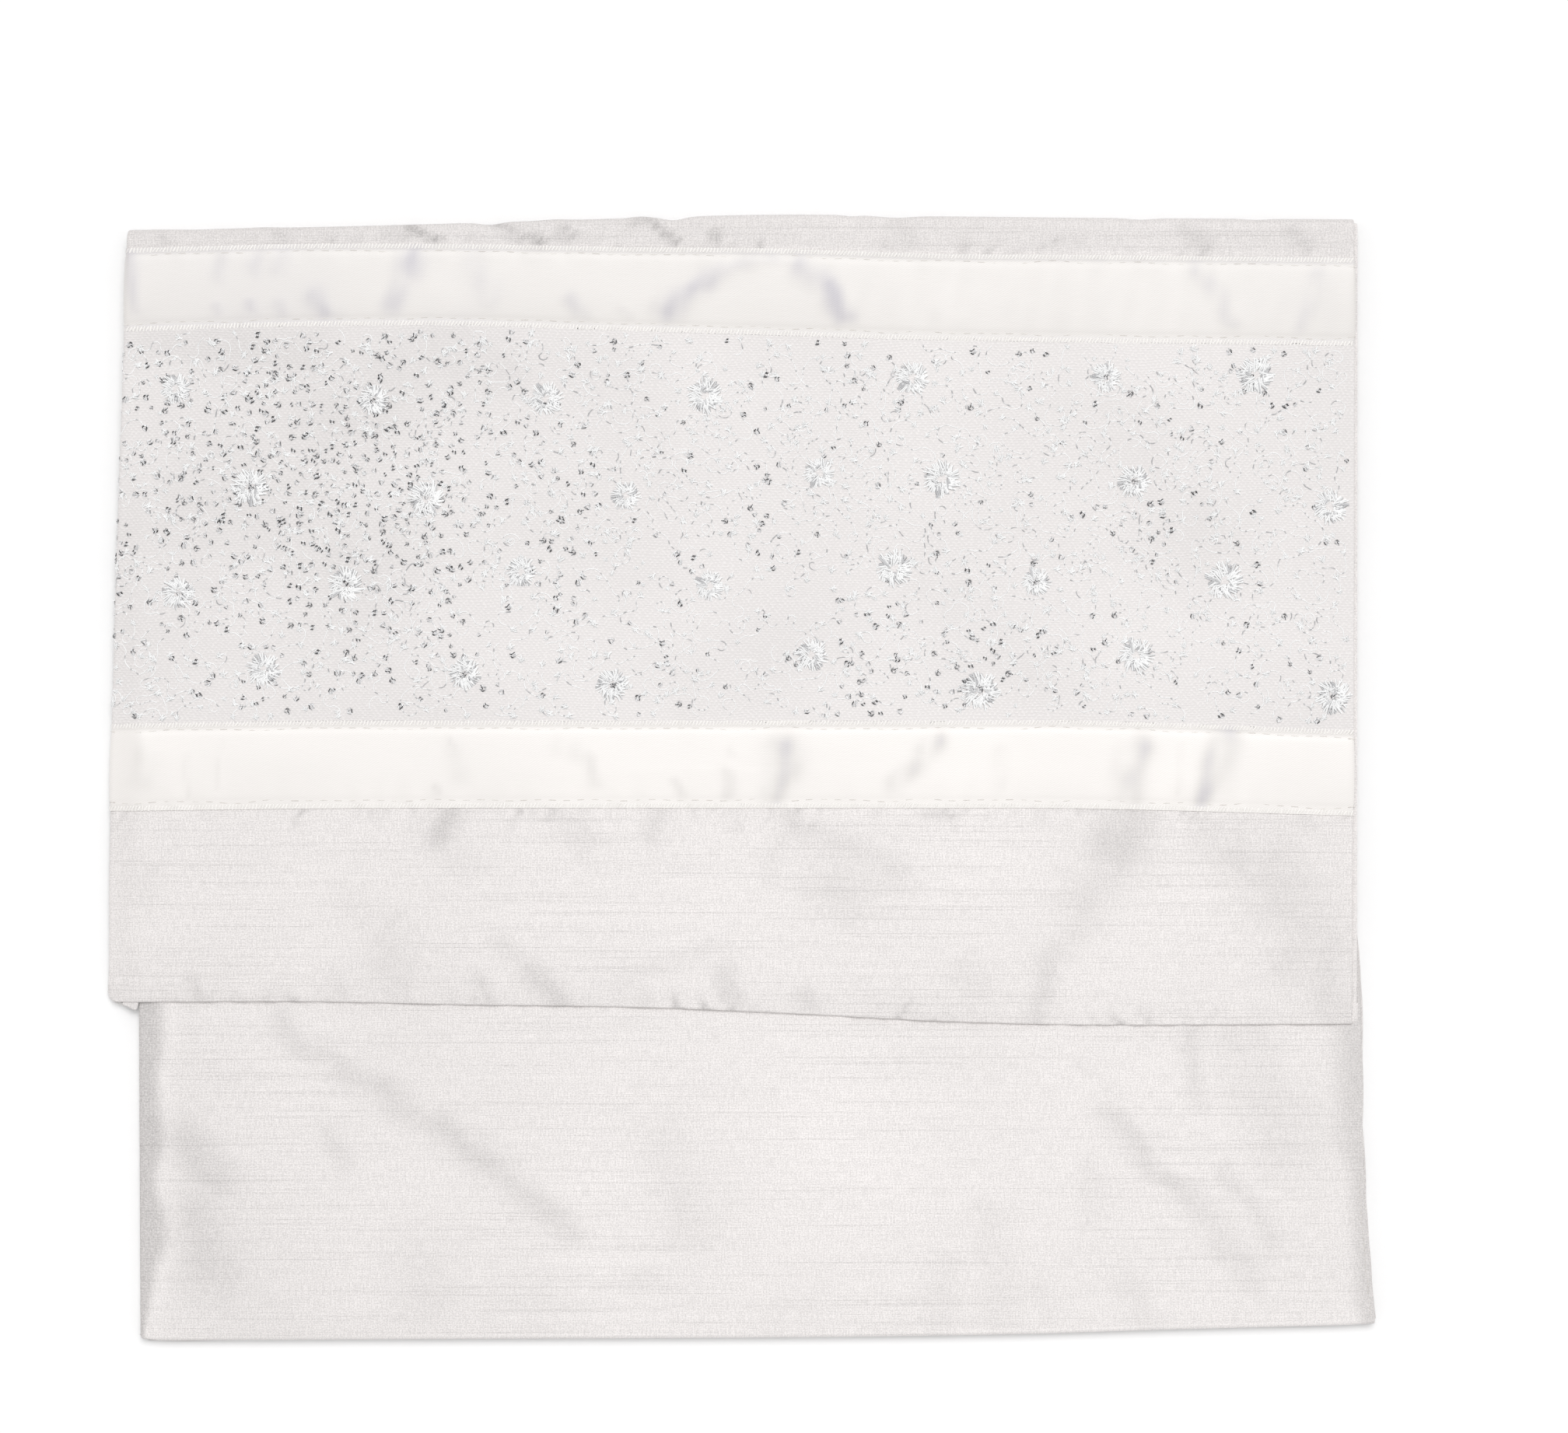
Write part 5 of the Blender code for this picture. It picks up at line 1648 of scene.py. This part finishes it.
@dataclass
class Embroidery:
    """Rosettes, knots and wandering thread lines on the net."""

    strip: Strip
    threads: StitchTree
    knots: StitchTree
    seed: int = 5
    rosette_spacing: tuple[float, float] = (66 * MM, 31 * MM)
    dense_spacing: float = 3.7 * MM
    open_spacing: float = 6.6 * MM
    margin: float = 1.6 * MM
    line_reach: float = 26 * MM
    line_step: float = 0.8 * MM
    line_gap: float = 1.45 * MM
    line_ends: list[Array] = field(default_factory=list)

    def inside(self, u: Array, v: Array, margin: float) -> Array:
        """Which places are on the net, a margin inside its edges."""
        low, high = (PLAN.line(line, within(u)) for line in (self.strip.low, self.strip.high))
        return (v > low + margin) & (v < high - margin) & (u > -203 * MM) & (u < 194 * MM)

    def density(self, u: Array, v: Array) -> Array:
        """How thickly the silver knots lie, from 0 to 1."""
        left = bell(u + 132 * MM, 62 * MM) * bell(v - 98 * MM, 52 * MM)
        right = 0.36 * bell(u - 66 * MM, 52 * MM) * bell(v - 40 * MM, 26 * MM)
        return np.clip(left + right + 0.16 * Swell(34 * MM, 51)(u, v), 0.0, 1.0)

    def rosette_places(self) -> Array:
        """Centres of the rosettes: four staggered rows, each place moved a little at random."""
        random = np.random.default_rng(self.seed)
        made = []
        for row in range(4):
            v = 33 * MM + row * self.rosette_spacing[1]
            for column in range(-4, 4):
                u = (column + (row % 2) * 0.5 + 0.32) * self.rosette_spacing[0] * 0.86
                made.append((u + random.normal(0, 5.5 * MM), v + random.normal(0, 4.0 * MM)))
        places = np.array(made)
        return places[self.inside(places[:, 0], places[:, 1], 4.5 * MM)]

    def scatter(self, spacing: float, keep: Callable[[Array, Array], Array], seed: int) -> Array:
        """Uneven points over the net, about a spacing apart.

        Args:
            spacing: Distance between neighbours.
            keep: Gives the share of points that stay at each place.
            seed: Seed of the draws.

        Returns:
            The kept (u, v) places.
        """
        random = np.random.default_rng(seed)
        across = np.arange(-203 * MM, 194 * MM, spacing)
        along = np.arange(14 * MM, 148 * MM, spacing * 0.87)
        u, v = np.meshgrid(across, along)
        u = u + (np.arange(len(along)) % 2)[:, None] * spacing / 2
        u = u + random.normal(0, spacing * 0.24, u.shape)
        v = v + random.normal(0, spacing * 0.24, v.shape)
        chance = random.random(u.shape)
        stays = self.inside(u, v, self.margin) & (chance < keep(u, v))
        return np.stack([u[stays], v[stays]], axis=-1)

    def set_knots(
        self, name: str, places: Array, sizes: Array, values: dict[str, object], seed: int
    ) -> Piece:
        """Sets a ring of stitches at each place, each turned at random.

        Args:
            name: The piece's name.
            places: The (u, v) places.
            sizes: Size of each ring.
            values: The tree's inputs by name.
            seed: Seed of the turns.

        Returns:
            The piece.
        """
        u, v = places[:, 0], places[:, 1]
        points, up = self.strip.flap.laid(u, v, np.full(u.shape, self.strip.rise + 0.02 * MM))
        turn = np.random.default_rng(seed).uniform(0, 2 * math.pi, len(u))
        run = np.stack([np.cos(turn), np.sin(turn), np.zeros(len(u))], axis=-1)
        return self.knots.run(name, source_mesh(points, np.zeros((0, 2), int), up, run, sizes), values)

    def cell(self, place: Array) -> tuple[int, int]:
        """The small square of the net that a place is in."""
        return int(place[0] // self.line_gap), int(place[1] // self.line_gap)

    def wander(self, random: np.random.Generator, start: Array, taken: set[tuple[int, int]]) -> Array:
        """One wandering line that curls as it goes and keeps clear of the others, in cloth coordinates.

        Args:
            random: Source of the draws.
            start: Where the line begins.
            taken: Squares of the net that other lines already use, to which this line's are added.

        Returns:
            The line's (u, v) points.
        """
        count = int(random.uniform(0.4, 1.4) * self.line_reach / self.line_step)
        heading = random.uniform(0, 2 * math.pi)
        bend = random.choice([-1, 1]) * random.uniform(0.1, 0.5)
        place, made, used = start.copy(), [start.copy()], [self.cell(start)]
        left_in_arc = random.integers(3, 8)
        for _ in range(count):
            for attempt in range(7):
                turn = bend + random.normal(0, 0.12) if attempt == 0 else random.uniform(-1.3, 1.3)
                course = heading + turn
                ahead = place + self.line_step * np.array([math.cos(course), math.sin(course)])
                square = self.cell(ahead)
                if square not in taken and square not in used[:-3]:
                    break
            else:
                break
            heading += turn
            place = ahead
            made.append(place)
            used.append(square)
            left_in_arc -= 1
            if left_in_arc < 0:
                bend = random.choice([-1, 1]) * random.uniform(0.05, 0.62)
                left_in_arc = random.integers(3, 9)
        taken.update(used)
        path = np.array(made)
        stays = self.inside(path[:, 0], path[:, 1], 1.2 * MM)
        return path[: len(path) if stays.all() else int(np.argmin(stays))]

    def lines(self) -> bpy.types.Mesh:
        """The wandering lines, laid on the net."""
        random = np.random.default_rng(self.seed + 20)
        starts = self.scatter(5.6 * MM, lambda u, v: 0.7 + 0.3 * ease(v + 0.35 * u, 40 * MM, 150 * MM), 71)
        taken: set[tuple[int, int]] = set()
        for centre in self.rosette_places():
            for angle in np.linspace(0, 2 * math.pi, 24):
                for reach in (1.5 * MM, 3.0 * MM, 4.4 * MM):
                    taken.add(self.cell(centre + reach * np.array([math.cos(angle), math.sin(angle)])))
        paths, ups = [], []
        for start in random.permutation(starts):
            if self.cell(start) in taken:
                continue
            line = self.wander(random, start, taken)
            if len(line) < 6:
                continue
            self.line_ends += [line[0], line[-1]]
            height = np.full(len(line), self.strip.rise + 0.05 * MM)
            path, up = self.strip.flap.laid(line[:, 0], line[:, 1], height)
            paths.append(path)
            ups.append(up)
        return path_mesh(paths, ups, [tangents(path) for path in paths])

    def build(self, wardrobe: Wardrobe) -> list[Piece]:
        """Builds all the stitching on the net."""
        random = np.random.default_rng(self.seed + 1)
        centres = self.rosette_places()
        sizes = random.uniform(0.92, 1.2, len(centres))
        petal = {
            "Stitches": 52, "Inner": 1.5 * MM, "Outer": 5.0 * MM, "Radius": 0.36 * MM, "Arch": 0.24 * MM,
            "Uneven": 0.18, "Swirl": 0.30, "Splay": 0.60, "Lobes": 6.0, "Depth": 0.24, "Steps": 4,
            "Material": wardrobe.petal,
        }
        made = [self.set_knots("band_rosettes", centres, sizes, petal, 3)]
        petal |= {"Stitches": 24, "Inner": 1.1 * MM, "Outer": 3.4 * MM, "Radius": 0.34 * MM}
        petal |= {"Arch": 0.38 * MM, "Swirl": -0.5, "Splay": 0.7, "Lobes": 3.0}
        made.append(self.set_knots("band_rosette_hearts", centres, sizes, petal, 6))
        silver = self.scatter(self.dense_spacing, lambda u, v: 0.05 + 0.93 * self.density(u, v), 72)
        near = centres[random.random(len(centres)) < 0.75]
        turn = random.uniform(0, 2 * math.pi, len(near))
        reach = random.choice([0.0, 4.2 * MM], len(near))
        close = near + np.stack([np.cos(turn), np.sin(turn)], axis=-1) * reach[:, None]
        silver = np.concatenate([silver, close, close + random.normal(0, 1.2 * MM, close.shape)])
        knot = {
            "Stitches": 9, "Inner": 0.14 * MM, "Outer": 0.90 * MM, "Radius": 0.150 * MM, "Arch": 0.30 * MM,
            "Uneven": 0.40, "Swirl": 0.0, "Splay": 1.9, "Lobes": 1.0, "Depth": 0.0, "Steps": 2,
            "Material": wardrobe.silver,
        }
        sizes = random.uniform(0.8, 1.4, len(silver))
        made.append(self.set_knots("band_silver_knots", silver, sizes, knot, 4))
        source = self.lines()
        white = self.scatter(self.open_spacing, lambda u, v: np.full(u.shape, 0.34), 73)
        white = np.concatenate([white, np.array(self.line_ends)[random.random(len(self.line_ends)) < 0.5]])
        knot |= {"Material": wardrobe.white, "Outer": 1.12 * MM, "Inner": -0.35 * MM, "Radius": 0.20 * MM}
        knot["Splay"] = 1.5
        sizes = random.uniform(0.75, 1.3, len(white))
        made.append(self.set_knots("band_white_knots", white, sizes, knot, 5))
        values = {"Pitch": 0.8 * MM, "Radius": 0.16 * MM, "Uneven": 0.35, "Material": wardrobe.line}
        made.append(self.threads.run("band_thread_lines", source, values))
        return [finish_piece(piece, "embroidered_net") for piece in made]


# Studio


@dataclass
class Studio:
    """Pale floor, soft light from above and the camera straight above the shawl."""

    photo_width: int = 2016
    metres_per_pixel: float = 0.25 * MM
    middle: tuple[float, float] = (13.4 * MM, 19.75 * MM)
    sharp_height: float = 5 * MM
    lens: float = 110.0
    sensor: float = 36.0
    floor_half: float = 3.0
    floor_level: float = -0.15 * MM
    surround_strength: float = 0.64
    key_place: tuple[float, float, float] = (0.08, 0.6, 1.5)
    key_power: float = 1.48
    key_spread: float = 36.0

    def floor(self) -> None:
        """A wide plain floor just under the shawl."""
        corners = ((-1, -1), (1, -1), (1, 1), (-1, 1))
        points = np.array([(x * self.floor_half, y * self.floor_half, self.floor_level) for x, y in corners])
        graph = Graph("studio_floor")
        finish = graph.finish(Base_Color=(*grey(0.96), 1.0), Roughness=0.9, Specular_IOR_Level=0.1)
        mesh_object("studio_floor", points, [[0, 1, 2, 3]], finish)

    def lights(self) -> None:
        """A white surround with one soft even light behind and above."""
        world = bpy.data.worlds.new("studio")
        bpy.context.scene.world = world
        world.use_nodes = True
        background = world.node_tree.nodes["Background"]
        background.inputs["Color"].default_value = (1.0, 1.0, 1.0, 1.0)
        background.inputs["Strength"].default_value = self.surround_strength
        light = bpy.data.lights.new("key", "SUN")
        light.angle = math.radians(self.key_spread)
        light.energy = self.key_power
        holder = in_scene("key", light)
        holder.location = self.key_place
        holder.rotation_euler = Vector(self.key_place).to_track_quat("Z", "Y").to_euler()

    def camera(self) -> None:
        """A long lens straight above, framed as in the photo."""
        data = bpy.data.cameras.new("camera")
        data.lens = self.lens
        data.sensor_width = self.sensor
        data.sensor_fit = "HORIZONTAL"
        data.clip_end = 20.0
        distance = self.photo_width * self.metres_per_pixel * self.lens / self.sensor
        holder = in_scene("camera", data)
        holder.location = (*self.middle, self.sharp_height + distance)
        bpy.context.scene.camera = holder
        bpy.context.scene.view_settings.view_transform = "Standard"


def declare(trims: dict[str, list[Piece]]) -> None:
    """Goes over each sheet of cloth with the cut of what shows of it, the piece below it and what is sewn on
    it, and only turns what is sewn on into a list.
    """
    for name, flat, below, sewn in (
        ("front", (0.400, 0.365), "hidden_layers_cloth", trims["edges"][:2]),
        ("under", (0.400, 0.262), "front_panel_cloth", trims["edges"][2:]),
        ("flap", (0.404, 0.270), "flap_under_cloth", []),
        ("band", (0.402, 0.125), "flap_cloth", trims["band"]),
        ("lower_ribbon", (0.402, 0.0275), "flap_cloth", trims["lower_ribbon"]),
        ("upper_ribbon", (0.402, 0.0275), "flap_cloth", trims["upper_ribbon"]),
    ):
        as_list(sewn)


def main() -> None:
    """Builds and dresses the shawl from the table up."""
    logging.basicConfig(level=logging.INFO, format="%(name)s: %(message)s")
    wardrobe = Wardrobe()
    paths, threads, knots = path_tree(), thread_tree(), knot_tree()
    flap, panel = Flap(), FrontPanel()
    band = Strip(
        flap, "band_net", Line.LOWER_BACK, Line.UPPER_FRONT, "embroidered_panel", "embroidered_net",
        overlap=1.0 * MM, rows=56, columns=180,
    )
    lower = Strip(
        flap, "lower_ribbon_satin", Line.LOWER_FRONT, Line.LOWER_BACK, "lower_ribbon", "satin_ribbon",
        crown=0.35 * MM, gap_shade=0.075, creases=LOWER_RIBBON_CREASES,
    )
    # The upper ribbon is painted a little darker all over: painted shade.
    upper = Strip(
        flap, "upper_ribbon_satin", Line.UPPER_FRONT, Line.UPPER_BACK, "upper_ribbon", "satin_ribbon",
        crown=0.35 * MM, shade=0.915, gap_shade=0.075, creases=UPPER_RIBBON_CREASES,
    )
    pieces = {
        "layers": HiddenLayers().build(wardrobe.dupioni),
        "front": panel.build(wardrobe.dupioni),
        "under": FlapUnder().build(wardrobe.dupioni),
        "flap": flap.build(wardrobe.dupioni),
        "band": band.build(wardrobe.net),
        "lower_ribbon": lower.build(wardrobe.satin),
        "upper_ribbon": upper.build(wardrobe.satin),
    }
    trims = {
        "band": Embroidery(band, threads, knots).build(wardrobe),
        "lower_ribbon": RibbonTrim(lower, paths).build(wardrobe),
        "upper_ribbon": RibbonTrim(upper, paths).build(wardrobe),
        "edges": EdgeTrim(panel, flap, paths).build(wardrobe),
    }
    declare(trims)
    studio = Studio()
    studio.floor()
    studio.lights()
    studio.camera()


if __name__ == "__main__":
    main()
